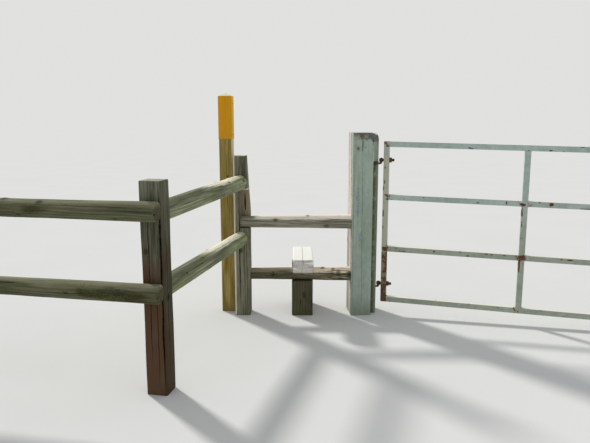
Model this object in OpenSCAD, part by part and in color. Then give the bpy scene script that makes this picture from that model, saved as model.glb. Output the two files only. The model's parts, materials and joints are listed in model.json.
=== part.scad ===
// Step stile beside a steel field gate, with the rail fence that joins them.
// Millimetres. The origin is the centre of the gate post's foot at ground level.
// +X runs along the stile towards the gate, +Y to the far side, +Z up.

/* [Gate post] */
// Width of the gate post along the stile
gate_post_w = 188; // [180:1:220]
// Depth of the gate post across the stile
gate_post_d = 200; // [190:1:230]
// Height of the gate post above ground
gate_post_h = 1285; // [1255:5:1450]
// Turn of the gate post, seen from above
gate_post_turn = 4; // [4:0.5:5]
// Width of the rebate cut down the corner that the gate swings past
rebate_w = 46; // [30:1:60]
// Depth of that rebate
rebate_d = 50; // [50:1:54]
// Height of the rebate's top
rebate_top = 1090; // [1000:5:1150]
// Width, on the front face, of the bevel that goes on above the rebate
bevel_w = 44; // [40:1:46]
// Depth of that bevel on the right face
bevel_d = 60; // [60:1:70]
// Small chamfer down the front corners of the gate posts
gate_post_arris = 4; // [3:1:8]
// Chamfer down the other corners of all the posts
post_arris = 10; // [4:1:16]
// Radius of the worn shoulder at the top of the post
shoulder_r = 45; // [20:1:60]
// How far rail ends go into the posts
mortise_depth = 40; // [25:1:45]

/* [Stile] */
// Clear width between the stile post and the gate post
passage_w = 701; // [601:2:901]
// Width of the stile post along the stile
stile_post_w = 111; // [104:1:130]
// Depth of the stile post across the stile
stile_post_d = 125; // [120:1:150]
// Rounded wane down the stile post's outer front corner
stile_wane = 24; // [12:1:32]
// Height of the stile post
stile_post_h = 1128; // [1090:2:1250]
// How much narrower the stile post is at its top
stile_post_taper = 22; // [5:1:30]
// Height at which the stile post starts to narrow
taper_start = 720; // [650:5:880]
// Front face of the stile post, in front of the gate post's middle
stile_front = 100; // [96:1:110]
// Depth of the notch that holds the upper rail's end
notch_depth = 60; // [50:1:70]
// Width of the notch along the stile
notch_w = 68; // [50:1:75]
// Height of the notch above the rail that sits in it
notch_h = 269; // [200:1:280]
// Diameter of the upper rail at the stile post
upper_rail_d_left = 80; // [76:1:90]
// Diameter of the upper rail at the gate post
upper_rail_d_right = 98; // [86:1:100]
// Height of the upper rail's middle
upper_rail_z = 668; // [655:1:690]
// Distance of both rails in front of the gate post's middle
rail_forward = 50; // [46:1:54]
// Diameter of the lower rail at the stile post
lower_rail_d_left = 78; // [76:1:84]
// Diameter of the lower rail at the gate post
lower_rail_d_right = 98; // [96:1:102]
// Height of the lower rail's middle
lower_rail_z = 294; // [285:1:330]
// Diameter of the shaved ends of the lower rail
tenon_d = 60; // [50:1:66]

/* [Step] */
// Middle of the step, to the left of the gate post
step_offset = 331; // [300:1:380]
// Width of the step board
step_w = 140; // [120:1:170]
// Length of the step board across the stile
step_l = 440; // [420:2:600]
// Thickness of the step board
step_t = 95; // [60:1:98]
// Middle of the step board, in front of the gate post's middle
step_forward = 0; // [0:1:20]
// Height of the lower rail where it is flattened under the step
rail_seat_h = 84; // [80:1:86]
// Width of both legs
leg_w = 147; // [120:1:155]
// Middle of the legs, to the left of the step's middle
leg_offset = 3.5; // [0:0.5:6]
// Depth of the front leg across the stile
front_leg_d = 110; // [90:1:130]
// Depth of the rear leg across the stile
rear_leg_d = 96; // [80:1:110]
// Distance of the rear leg in from the rear end of the board
rear_leg_inset = 10; // [5:1:30]
// Rounding along the edges of the step and its legs
step_edge_r = 6; // [3:1:12]

/* [Waymark post] */
// Width of the square waymark post
waymark_w = 90; // [85:1:110]
// Height of the waymark post
waymark_h = 1530; // [1400:5:1650]
// Distance of the waymark post's front face behind the stile post's
waymark_back = 95; // [60:1:110]
// Gap between the waymark post and the stile post
waymark_gap = 10; // [4:1:14]
// Turn of the waymark post, clockwise seen from above
waymark_turn = 3; // [0:0.5:4]
// Length of the coloured cap
cap_l = 293; // [150:5:380]
// Wall of the cap
cap_wall = 3; // [2:0.5:5]
// Height of the low pyramid on the cap
cap_peak = 23; // [12:1:40]

/* [Rail fence] */
// Width of the square corner and end posts
fence_post_w = 110; // [100:1:125]
// Height of the corner post
corner_post_h = 1085; // [1020:1:1200]
// Height of the post at the end of the side bay
hedge_post_h = 1070; // [1020:1:1200]
// Length of the return bay between its post faces
return_bay = 1190; // [1000:5:1600]
// Angle of the return bay's rails away from square
return_yaw = 14.2; // [8:0.1:18]
// Turn of the corner post and of the side bay
corner_turn = 11; // [5:0.5:18]
// Middle of the return rails, in from the stile post's left face
return_inset = 44; // [40:1:55]
// Diameter of the return rails at the stile post
return_d_far = 104; // [80:1:108]
// Diameter of the return rails at the corner post
return_d_near = 106; // [90:1:110]
// Height of the top return rail at the stile post
return_top_z = 946; // [925:1:980]
// Height of the lower return rail at the stile post
return_lower_z = 553; // [500:1:570]
// Fall of the return rails towards the corner post
return_fall = 25; // [0:1:30]
// Length of the side bay between post middles
hedge_bay = 1500; // [1200:10:2000]
// Diameter of the side bay's rails at the corner post
hedge_rail_d = 98; // [84:1:104]
// Diameter of the side bay's rails at the end post
hedge_rail_tip_d = 86; // [76:1:96]
// Height of the side bay's top rail
hedge_top_z = 944; // [925:1:990]
// Height of the side bay's lower rail
hedge_lower_z = 543; // [500:1:600]
// Depth of the flats that seat the side rails on their posts
rail_flat = 5; // [3:0.5:10]
// Length of the side rails past the end post's middle
rail_tail = 120; // [80:5:200]

/* [Gate] */
// Turn of the closed gate towards the near side
gate_yaw = 14; // [5:0.5:14]
// Distance of the hinge pins from the gate post
pin_gap = 22; // [22:0.5:30]
// Distance of the hinge pins behind the post's front face
pin_back = 65; // [63:0.5:65]
// Length of one bay of the gate
gate_bay = 915; // [700:5:1000]
// Number of bays
gate_bays = 4; // [4:1:4]
// Width of the square steel tube
tube_w = 38; // [36:1:38]
// Wall of the steel tube
tube_wall = 3; // [2:0.5:4]
// Outer corner radius of the steel tube
tube_r = 4; // [2:0.5:5]
// Middle of the bottom rail above ground at the hanging stile
bottom_rail_z = 110; // [105:1:150]
// Spacing of the rails, middle to middle
rail_pitch = 366; // [340:1:370]
// Slope of the rails, which have dropped towards the closing end
rail_droop = 1.1; // [0:0.05:1.1]
// Distance of the hinges from the middle of the outer rails
hinge_inset = 110; // [90:1:140]

/* [Hinges] */
// Diameter of the hinge pins and of the bars that carry them
pin_d = 14; // [12:0.5:14.5]
// Running clearance round the pins
pin_clear = 0.5; // [0.3:0.1:1]
// Outer diameter of the eyes
eye_d = 30; // [30:0.5:32]
// Height of the eyes
eye_h = 20; // [20:1:30]
// Gap between an eye and the face of the hanging stile
eye_gap = 3; // [3:0.5:5]
// Radius of the bend between a hook's bar and its pin
bend_r = 9; // [8:0.5:10]
// Diameter of the collar that an eye stands on
collar_d = 22; // [18:0.5:26]
// Thickness of the collar
collar_t = 4; // [3:0.5:8]
// Length of the pin above its eye
pin_tip = 5; // [3:1:15]
// How far a hook's bar goes into the post
hook_depth = 90; // [60:1:110]
// Diameter of the threaded shanks
shank_d = 18; // [16:0.5:20]
// Width of the nuts across the flats
nut_af = 30; // [27:0.5:32]
// Thickness of the nuts
nut_t = 16; // [12:0.5:18]
// Length of thread past each nut
thread_out = 18; // [10:1:30]

/* [Latch post] */
// Gap between the closing stile and the latch post
latch_gap = 45; // [30:1:60]
// Height of the latch post
latch_post_h = 1285; // [1255:5:1450]
// Height of the stop's middle
stop_z = 640; // [500:5:800]
// Height of the stop
stop_h = 120; // [80:5:160]
// Thickness of the stop's steel
stop_t = 6; // [5:0.5:10]
// Depth of the stop's plate on the post
stop_plate = 70; // [65:1:80]
// How far the stop reaches behind the closing stile
stop_lap = 26; // [15:1:32]
// Running clearance between the closed gate and its stop
stop_clear = 5; // [5:0.5:8]

/* [Fits] */
// Clearance of a rail end in its socket, and of a piece on its seat
seat = 0.3; // [0.2:0.1:0.6]

/* [Hidden] */
$fn = 64;
far_away = 6000;
cut_extra = 10;

stile_right_x = -gate_post_w / 2 - passage_w;
stile_left_x = stile_right_x - stile_post_w;
notch_left_x = stile_right_x - notch_w;
notch_back_y = -stile_front + notch_depth;
notch_floor_z = upper_rail_z - upper_rail_d_left / 2 - seat;

step_x = -gate_post_w / 2 - step_offset;
leg_x = step_x - leg_offset;
rail_top_flat_z = lower_rail_z + rail_seat_h / 2;
rail_low_flat_z = lower_rail_z - rail_seat_h / 2;
board_z = rail_top_flat_z + seat;

return_rise = (return_d_near - return_d_far) / return_bay;
return_far = [stile_left_x + return_inset, -stile_front];
return_near = return_far - return_bay * [sin(return_yaw), cos(return_yaw)];
corner_axis = [sin(corner_turn), cos(corner_turn)];
corner_centre = return_near - fence_post_w / 2 * corner_axis;

pin_x = gate_post_w / 2 + pin_gap;
pin_y = -gate_post_d / 2 + pin_back;
stile_u = eye_d / 2 + eye_gap;
closing_u = stile_u + gate_bays * gate_bay;
latch_u = closing_u + tube_w + latch_gap;
top_rail_z = bottom_rail_z + 3 * rail_pitch;
top_hinge_z = top_rail_z - hinge_inset;
bottom_hinge_z = bottom_rail_z + hinge_inset;
bar_drop = eye_h / 2 + seat + collar_t + bend_r;

// Frames of the turned groups

// The side bay: origin at the corner post, +X towards the return bay, +Y to the far side
module corner_frame() {
    translate([corner_centre.x, corner_centre.y, 0]) rotate([0, 0, -corner_turn]) children();
}

// The gate leaf: origin on the hinge pins, +X along the closed gate
module leaf_frame() {
    translate([pin_x, pin_y, 0]) rotate([0, 0, -gate_yaw]) children();
}

// Shared outlines

// Cross section of a sawn post, with its own cut at each corner
module post_section(w, d, front_left, front_right, rear) {
    polygon([
        [-w / 2, -d / 2 + front_left], [-w / 2 + front_left, -d / 2],
        [w / 2 - front_right, -d / 2], [w / 2, -d / 2 + front_right],
        [w / 2, d / 2 - rear], [w / 2 - rear, d / 2],
        [-w / 2 + rear, d / 2], [-w / 2, d / 2 - rear]
    ]);
}

// Rectangle with true round corners
module round_rect(w, h, r) {
    square([w - 2 * r, h], center = true);
    square([w, h - 2 * r], center = true);
    for (x = [-1, 1], y = [-1, 1])
        translate([x * (w / 2 - r), y * (h / 2 - r)]) circle(r);
}

// Front view of a post whose right shoulder has worn round
module shouldered_front(w, h, r) {
    translate([-w / 2, 0]) square([w - r, h]);
    translate([-w / 2, 0]) square([w, h - r]);
    translate([w / 2 - r, h - r]) circle(r);
}

// A large post: its plan section held inside its front view
module large_post(h) {
    intersection() {
        linear_extrude(h)
            post_section(gate_post_w, gate_post_d, gate_post_arris, gate_post_arris, post_arris);
        rotate([90, 0, 0]) linear_extrude(2 * gate_post_d, center = true)
            shouldered_front(gate_post_w, h, shoulder_r);
    }
}

// A straight tapered pole between two points, made longer at both ends so that it can be cut to fit
module pole(from, to, d_from, d_to, extra) {
    run = to - from;
    span = norm(run);
    rate = (d_to - d_from) / span;
    translate(from) rotate([0, acos(run.z / span), atan2(run.y, run.x)]) translate([0, 0, -extra])
        cylinder(h = span + 2 * extra, d1 = d_from - rate * extra, d2 = d_to + rate * extra);
}

// Square steel tube of the gate along +X, from u0 to u1
module tube_x(u0, u1) {
    translate([u0, 0, 0]) rotate([90, 0, 90]) linear_extrude(u1 - u0) difference() {
        round_rect(tube_w, tube_w, tube_r);
        round_rect(tube_w - 2 * tube_wall, tube_w - 2 * tube_wall, max(tube_r - tube_wall, 0.5));
    }
}

// Fixed timber

module gate_post() {
    color("#8d9a96") difference() {
        rotate([0, 0, gate_post_turn]) difference() {
            large_post(gate_post_h);
            swing_rebate();
            swing_bevel();
        }
        rail_socket(upper_rail_z, upper_rail_d_right);
        rail_socket(lower_rail_z, lower_rail_d_right);
        hook_socket(top_hinge_z);
        hook_socket(bottom_hinge_z);
    }
}

// Square-cornered step cut down the post's right front corner, up to the top hinge
module swing_rebate() {
    translate([gate_post_w / 2 - rebate_w, -gate_post_d / 2 - cut_extra, -cut_extra])
        cube([rebate_w + cut_extra, rebate_d + cut_extra, rebate_top + cut_extra]);
}

// Slanting cut that carries the same clearance from the rebate's top to the top of the post
module swing_bevel() {
    translate([0, 0, rebate_top]) linear_extrude(gate_post_h - rebate_top + cut_extra) polygon([
        [gate_post_w / 2 - bevel_w, -gate_post_d / 2], [gate_post_w / 2, -gate_post_d / 2 + bevel_d],
        [gate_post_w / 2 + cut_extra, -gate_post_d / 2 + bevel_d],
        [gate_post_w / 2 + cut_extra, -gate_post_d / 2 - cut_extra],
        [gate_post_w / 2 - bevel_w, -gate_post_d / 2 - cut_extra]
    ]);
}

// Round mortise in the gate post's left face
module rail_socket(z, d) {
    translate([-gate_post_w / 2 - cut_extra, -rail_forward, z]) rotate([0, 90, 0])
        cylinder(h = mortise_depth + cut_extra, d = d + 2 * seat);
}

// Bore for a hinge hook in the gate post's right face
module hook_socket(hinge_z) {
    translate([gate_post_w / 2 - hook_depth, pin_y, hinge_z - bar_drop]) rotate([0, 90, 0])
        cylinder(h = hook_depth + cut_extra, d = pin_d + 2 * seat);
}

// Plan of the stile post, with the round wane of the log at its outer front corner
module stile_section() {
    difference() {
        post_section(stile_post_w, stile_post_d, post_arris, post_arris, post_arris);
        translate([-stile_post_w / 2 - cut_extra, -stile_post_d / 2 - cut_extra])
            square(stile_wane + cut_extra);
    }
    translate([-stile_post_w / 2 + stile_wane, -stile_post_d / 2 + stile_wane]) circle(stile_wane);
}

module stile_post() {
    color("#5d554a") difference() {
        translate([stile_right_x - stile_post_w / 2, -stile_front + stile_post_d / 2, 0]) intersection() {
            linear_extrude(stile_post_h)
                stile_section();
            rotate([90, 0, 0]) linear_extrude(2 * stile_post_d, center = true) polygon([
                [-stile_post_w / 2, 0], [stile_post_w / 2, 0], [stile_post_w / 2, taper_start],
                [stile_post_w / 2 - stile_post_taper, stile_post_h - post_arris],
                [-stile_post_w / 2, stile_post_h]
            ]);
        }
        translate([notch_left_x, -stile_front - cut_extra, notch_floor_z])
            cube([notch_w + cut_extra, notch_depth + cut_extra, notch_h]);
        translate([stile_right_x - mortise_depth, -rail_forward, lower_rail_z]) rotate([0, 90, 0])
            cylinder(h = mortise_depth + cut_extra, d = tenon_d + 2 * seat);
    }
}

// Rests on the notch floor, halved against the notch's back, and thickens towards the gate post
module upper_stile_rail() {
    left = notch_left_x + seat;
    right = -gate_post_w / 2 + mortise_depth - seat;
    face = -gate_post_w / 2;
    color("#5a5148") difference() {
        translate([0, -rail_forward, upper_rail_z]) rotate([0, 90, 0]) {
            translate([0, 0, left]) cylinder(h = stile_right_x - left + seat, d = upper_rail_d_left);
            translate([0, 0, stile_right_x])
                cylinder(h = face - stile_right_x, d1 = upper_rail_d_left, d2 = upper_rail_d_right);
            translate([0, 0, face - seat]) cylinder(h = right - face + seat, d = upper_rail_d_right);
        }
        translate([left - cut_extra, notch_back_y - seat, upper_rail_z - upper_rail_d_right])
            cube([notch_w + cut_extra + seat, upper_rail_d_right, 2 * upper_rail_d_right]);
    }
}

// Tapers towards the stile post, where its end is shaved to a round tenon
module lower_stile_rail() {
    shoulder = stile_right_x + seat;
    right = -gate_post_w / 2 + mortise_depth - seat;
    face = -gate_post_w / 2;
    color("#6b6156") {
        difference() {
            union() {
                translate([shoulder, -rail_forward, lower_rail_z]) rotate([0, 90, 0])
                    cylinder(h = face - shoulder, d1 = lower_rail_d_left, d2 = lower_rail_d_right);
                translate([face - seat, -rail_forward, lower_rail_z]) rotate([0, 90, 0])
                    cylinder(h = right - face + seat, d = lower_rail_d_right);
                translate([shoulder - mortise_depth, -rail_forward, lower_rail_z]) rotate([0, 90, 0])
                    cylinder(h = mortise_depth + seat, d = tenon_d);
            }
            step_flat(step_x, step_w, rail_top_flat_z);
            step_flat(leg_x, leg_w, rail_low_flat_z - lower_rail_d_right);
        }
    }
}

// Block that takes the lower rail down to a flat, over the width of the board or of the leg
module step_flat(x, w, z) {
    translate([x - w / 2 - seat, -rail_forward - lower_rail_d_right, z])
        cube([w + 2 * seat, 2 * lower_rail_d_right, lower_rail_d_right]);
}

module step_board() {
    color("#b3aa9c") translate([step_x, -step_forward, board_z + step_t / 2]) rotate([90, 0, 0])
        linear_extrude(step_l, center = true) round_rect(step_w, step_t, step_edge_r);
}

// A leg of the step: a block set on the ground
module step_leg(d, y, h) {
    translate([leg_x, y, 0]) linear_extrude(h) round_rect(leg_w, d, step_edge_r);
}

module front_step_leg() {
    color("#4a443c") step_leg(front_leg_d, -rail_forward, rail_low_flat_z - seat);
}

module rear_step_leg() {
    color("#4f493f")
        step_leg(rear_leg_d, -step_forward + step_l / 2 - rear_leg_inset - rear_leg_d / 2, board_z - seat);
}

module waymark_plan() {
    translate([stile_left_x - waymark_gap - waymark_w / 2, -stile_front + waymark_back + waymark_w / 2, 0])
        rotate([0, 0, -waymark_turn]) children();
}

module waymark_post() {
    color("#9c8357") waymark_plan() linear_extrude(waymark_h)
        post_section(waymark_w, waymark_w, 2, 2, 2);
}

// A block with a gabled top: two of them, crossed, make the cap's pyramid
module gabled(w, h, peak) {
    rotate([90, 0, 0]) linear_extrude(w, center = true)
        polygon([[-w / 2, 0], [w / 2, 0], [w / 2, h], [0, h + peak], [-w / 2, h]]);
}

// A thin sleeve that slides over the post's top, with a low pyramid roof
module waymark_cap() {
    inner = waymark_w + 2 * seat;
    outer = inner + 2 * cap_wall;
    color("#c8982c") waymark_plan() translate([0, 0, waymark_h + seat + cap_wall - cap_l])
        difference() {
            intersection() {
                gabled(outer, cap_l, cap_peak);
                rotate([0, 0, 90]) gabled(outer, cap_l, cap_peak);
            }
            translate([-inner / 2, -inner / 2, -cut_extra])
                cube([inner, inner, cap_l + cut_extra - cap_wall]);
        }
}

// Rail fence

module fence_post(h) {
    linear_extrude(h) post_section(fence_post_w, fence_post_w, post_arris, post_arris, post_arris);
}

module corner_post() {
    color("#7b6a58") corner_frame() fence_post(corner_post_h);
}

module hedge_post() {
    color("#766656") corner_frame() translate([-hedge_bay, 0, 0]) fence_post(hedge_post_h);
}

// Butts square against the stile post's front and the corner post's back
module return_rail(z) {
    color("#8b8e78") difference() {
        pole([return_far.x, return_far.y, z], [return_near.x, return_near.y, z - return_fall],
            return_d_far, return_d_near, fence_post_w / 3);
        translate([-far_away, -stile_front - seat, 0]) cube([2 * far_away, far_away, far_away]);
        corner_frame() translate([-far_away, -far_away + fence_post_w / 2 + seat, 0])
            cube([2 * far_away, far_away, far_away]);
    }
}

module return_top_rail() {
    return_rail(return_top_z);
}

module return_lower_rail() {
    return_rail(return_lower_z);
}

// Nailed across the fronts of its two posts, with a flat where it seats on each
module hedge_rail(z) {
    rail_y = -fence_post_w / 2 - hedge_rail_d / 2 + rail_flat;
    tip_y = -fence_post_w / 2 - hedge_rail_tip_d / 2 + rail_flat;
    color("#838672") corner_frame() difference() {
        pole([-hedge_bay - rail_tail, tip_y, z], [fence_post_w / 2, rail_y, z],
            hedge_rail_tip_d, hedge_rail_d, 0);
        for (x = [0, -hedge_bay])
            translate([x - fence_post_w, -fence_post_w / 2 - seat, z - hedge_rail_d])
                cube([2 * fence_post_w, fence_post_w, 2 * hedge_rail_d]);
    }
}

module hedge_top_rail() {
    hedge_rail(hedge_top_z);
}

module hedge_lower_rail() {
    hedge_rail(hedge_lower_z);
}

// Gate leaf

// Length along X between two upright planes, for cutting the sloping tubes plumb
module between(u0, u1) {
    intersection() {
        children();
        translate([u0, -tube_w, -far_away]) cube([u1 - u0, 2 * tube_w, 2 * far_away]);
    }
}

// Puts a piece drawn at a rail's middle onto the sloping line of that rail
module on_rail(level) {
    translate([stile_u, 0, bottom_rail_z + level * rail_pitch]) rotate([0, rail_droop, 0]) children();
}

module gate_rail(level) {
    color("#93a2a6") leaf_frame() between(stile_u + tube_w, closing_u)
        on_rail(level) tube_x(0, gate_bays * gate_bay + 2 * tube_w);
}

module gate_top_rail() {
    gate_rail(3);
}

module gate_second_rail() {
    gate_rail(2);
}

module gate_third_rail() {
    gate_rail(1);
}

module gate_bottom_rail() {
    gate_rail(0);
}

// Upright tube with its outer end closed, from z0 to z1
module upright(z0, z1) {
    translate([tube_w / 2, 0, z0]) difference() {
        linear_extrude(z1 - z0) round_rect(tube_w, tube_w, tube_r);
        translate([0, 0, tube_wall]) linear_extrude(z1 - z0 - 2 * tube_wall)
            round_rect(tube_w - 2 * tube_wall, tube_w - 2 * tube_wall, max(tube_r - tube_wall, 0.5));
    }
}

module gate_hanging_stile() {
    color("#86959a") leaf_frame() difference() {
        translate([stile_u, 0, 0]) upright(bottom_rail_z - tube_w / 2, top_rail_z + tube_w / 2);
        for (z = [bottom_hinge_z, top_hinge_z])
            translate([stile_u - cut_extra, 0, z]) rotate([0, 90, 0])
                cylinder(h = tube_w + 2 * cut_extra, d = shank_d + 2 * seat);
    }
}

module gate_closing_stile() {
    fall = tan(rail_droop) * gate_bays * gate_bay;
    color("#93a2a6") leaf_frame() translate([closing_u, 0, 0])
        upright(bottom_rail_z - fall - tube_w / 2, top_rail_z - fall + tube_w / 2);
}

// Three short uprights in line, each cut to the slope of the rails above and below it
module gate_brace(bay) {
    u = stile_u + bay * gate_bay;
    color("#93a2a6") leaf_frame() difference() {
        translate([u + tube_w / 2, 0, 0]) linear_extrude(top_rail_z) difference() {
            round_rect(tube_w, tube_w, tube_r);
            round_rect(tube_w - 2 * tube_wall, tube_w - 2 * tube_wall, max(tube_r - tube_wall, 0.5));
        }
        for (level = [0:3])
            on_rail(level) translate([bay * gate_bay, 0, 0])
                cube([6 * tube_w, 2 * tube_w, tube_w], center = true);
        on_rail(0) translate([bay * gate_bay, 0, -far_away / 2])
            cube([6 * tube_w, 2 * tube_w, far_away], center = true);
        on_rail(3) translate([bay * gate_bay, 0, far_away / 2])
            cube([6 * tube_w, 2 * tube_w, far_away], center = true);
    }
}

module gate_brace_1() {
    gate_brace(1);
}

module gate_brace_2() {
    gate_brace(2);
}

module gate_brace_3() {
    gate_brace(3);
}

// Hinges

// Bar driven into the post, turned up to make the pin, with a collar under the eye
module hinge_hook(hinge_z) {
    bar_z = hinge_z - bar_drop;
    inner = gate_post_w / 2 - hook_depth + seat;
    color("#5c3b2a") {
        translate([inner, pin_y, bar_z]) rotate([0, 90, 0])
            cylinder(h = pin_x - bend_r - inner, d = pin_d);
        translate([pin_x - bend_r, pin_y, bar_z + bend_r]) rotate([90, 0, 0]) rotate([0, 0, -90])
            rotate_extrude(angle = 90) translate([bend_r, 0]) circle(d = pin_d);
        translate([pin_x, pin_y, bar_z + bend_r])
            cylinder(h = bar_drop - bend_r + eye_h / 2 + pin_tip, d = pin_d);
        translate([pin_x, pin_y, hinge_z - eye_h / 2 - seat - collar_t])
            cylinder(h = collar_t, d = collar_d);
    }
}

module top_hinge_hook() {
    hinge_hook(top_hinge_z);
}

module bottom_hinge_hook() {
    hinge_hook(bottom_hinge_z);
}

// Eye and threaded shank in one piece
module hinge_eye(hinge_z) {
    reach = stile_u + tube_w + nut_t + thread_out;
    color("#6a4733") leaf_frame() translate([0, 0, hinge_z]) difference() {
        union() {
            cylinder(h = eye_h, d = eye_d, center = true);
            rotate([0, 90, 0]) cylinder(h = reach, d = shank_d);
        }
        cylinder(h = eye_h + cut_extra, d = pin_d + 2 * pin_clear, center = true);
    }
}

module top_hinge_eye() {
    hinge_eye(top_hinge_z);
}

module bottom_hinge_eye() {
    hinge_eye(bottom_hinge_z);
}

module hinge_nut(hinge_z) {
    color("#6e4a36") leaf_frame() translate([stile_u + tube_w, 0, hinge_z]) rotate([0, 90, 0])
        difference() {
            cylinder(h = nut_t, d = nut_af / cos(30), $fn = 6);
            translate([0, 0, -cut_extra]) cylinder(h = nut_t + 2 * cut_extra, d = shank_d + 2 * seat);
        }
}

module top_hinge_nut() {
    hinge_nut(top_hinge_z);
}

module bottom_hinge_nut() {
    hinge_nut(bottom_hinge_z);
}

// Latch side

module latch_post() {
    color("#8d9a96") leaf_frame() translate([latch_u + gate_post_w / 2, 0, 0])
        large_post(latch_post_h);
}

// Steel angle that the gate closes against
module gate_stop() {
    stop_y = tube_w / 2 + stop_clear;
    color("#6a4733") leaf_frame() translate([0, 0, stop_z - stop_h / 2]) {
        translate([latch_u - stop_t, stop_y, 0]) cube([stop_t, stop_plate - stop_y + stop_t, stop_h]);
        translate([closing_u + tube_w - stop_lap, stop_y, 0])
            cube([latch_u - closing_u - tube_w + stop_lap, stop_t, stop_h]);
    }
}

gate_post();
stile_post();
upper_stile_rail();
lower_stile_rail();
step_board();
front_step_leg();
rear_step_leg();
waymark_post();
waymark_cap();
corner_post();
return_top_rail();
return_lower_rail();
hedge_post();
hedge_top_rail();
hedge_lower_rail();
latch_post();
gate_stop();
top_hinge_hook();
bottom_hinge_hook();
gate_top_rail();
gate_second_rail();
gate_third_rail();
gate_bottom_rail();
gate_hanging_stile();
gate_closing_stile();
gate_brace_1();
gate_brace_2();
gate_brace_3();
top_hinge_eye();
bottom_hinge_eye();
top_hinge_nut();
bottom_hinge_nut();
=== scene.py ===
"""Looks of a step stile beside a field gate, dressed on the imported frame. Metres, in the part's own frame."""
import json
import math
from collections import namedtuple

import bpy
import numpy as np
from mathutils import Matrix, Vector


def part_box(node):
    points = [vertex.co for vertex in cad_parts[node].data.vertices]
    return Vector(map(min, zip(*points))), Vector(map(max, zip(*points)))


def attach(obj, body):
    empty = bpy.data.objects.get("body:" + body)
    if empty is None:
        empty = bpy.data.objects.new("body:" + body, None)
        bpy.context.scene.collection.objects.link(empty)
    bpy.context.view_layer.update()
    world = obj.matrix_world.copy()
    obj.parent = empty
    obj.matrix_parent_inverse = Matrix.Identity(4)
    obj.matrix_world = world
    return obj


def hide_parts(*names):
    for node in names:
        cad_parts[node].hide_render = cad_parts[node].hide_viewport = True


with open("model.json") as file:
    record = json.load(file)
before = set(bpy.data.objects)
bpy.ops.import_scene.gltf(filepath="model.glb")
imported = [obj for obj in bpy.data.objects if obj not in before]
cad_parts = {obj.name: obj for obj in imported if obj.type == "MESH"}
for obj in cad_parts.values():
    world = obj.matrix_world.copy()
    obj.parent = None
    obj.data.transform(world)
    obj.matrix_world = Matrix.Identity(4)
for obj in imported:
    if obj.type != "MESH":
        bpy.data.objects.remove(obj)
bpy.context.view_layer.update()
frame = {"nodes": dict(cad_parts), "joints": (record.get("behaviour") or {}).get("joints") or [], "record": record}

# Angles of the turned groups
POST_TURN = math.radians(4)
GATE_YAW = math.radians(14)
GATE_DROOP = math.radians(1.1)
CORNER_TURN = math.radians(11)
WAYMARK_TURN = math.radians(3)

# Gate post and latch post
LARGE_POST = (0.188, 0.200)
REBATE_W = 0.046
REBATE_D = 0.050
REBATE_TOP = 1.090
BEVEL_W = 0.044
BEVEL_D = 0.060
SHOULDER_R = 0.045
ARRIS = 0.007
FRONT_ARRIS = 0.004

# Patches on the front of the gate post: across, up, half width, half height, strength
GREY_SMEARS = [(-0.056, 0.815, 0.014, 0.12, 1), (-0.031, 0.55, 0.016, 0.06, 1),
               (0.032, 1.122, 0.013, 0.030, 1)]
LICHEN_DOTS = [(-0.058, 1.257, 0.016, 0.013, 1), (-0.004, 1.263, 0.018, 0.014, 1),
               (0.056, 1.167, 0.016, 0.014, 1.8)]

# Stile
STILE_FRONT = -0.100
STILE_WANE = 0.024
STILE_TAPER = 0.022
TAPER_START = 0.720
NOTCH_W = 0.068
NOTCH_D = 0.060
NOTCH_TOP = 0.8967
NOTCH_SLOT = (0.020, 0.805, 0.011, 0.062, 1)
RAIL_FORWARD = 0.050
UPPER_RAIL_Z = 0.668
UPPER_RAIL_D = (0.080, 0.098)
LOWER_RAIL_Z = 0.294
LOWER_RAIL_D = (0.078, 0.098)
RAIL_SEAT_H = 0.084
TENON_D = 0.060
MORTISE = 0.040
SEAT = 0.0003

# Waymark post
WAYMARK_W = 0.090
CAP_W = 0.0966
CAP_PEAK = 0.023
CAP_WALL = 0.0028
CAP_COLUMNS = 72

# Rail fence
FENCE_POST_W = 0.110
RETURN_D = (0.106, 0.104)
RETURN_Z = {"return_top_rail": 0.946, "return_lower_rail": 0.553}
RETURN_FALL = 0.025
RETURN_INSET = 0.044
HEDGE_BAY = 1.5
HEDGE_D = (0.086, 0.098)
HEDGE_Z = {"hedge_top_rail": 0.944, "hedge_lower_rail": 0.543}
HEDGE_TAIL = 0.120
RAIL_FLAT = 0.005

# Gate
TUBE_W = 0.038
GATE_BAY = 0.915
GATE_BAYS = 4
STILE_U = 0.018
BOTTOM_RAIL_Z = 0.110
RAIL_PITCH = 0.366
RAILS = 4
SHANK_D = 0.018
NUT_T = 0.016
THREAD_PITCH = 0.0025
THREAD_TURNS = 6
RUST_THICK = 0.0009
RUST_END = 3.6
FOOT_LUMPS = 70

UP = Vector((0, 0, 1))
FEET = {m["name"]: Vector(m["pos_m"]) for m in frame["record"]["mounts"]}
PIN = Vector(frame["joints"][0]["pos_m"])
LEAF = Matrix.Translation(PIN) @ Matrix.Rotation(-GATE_YAW, 4, "Z")
ALONG_LEAF = LEAF.to_3x3() @ Vector((1, 0, 0))

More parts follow.
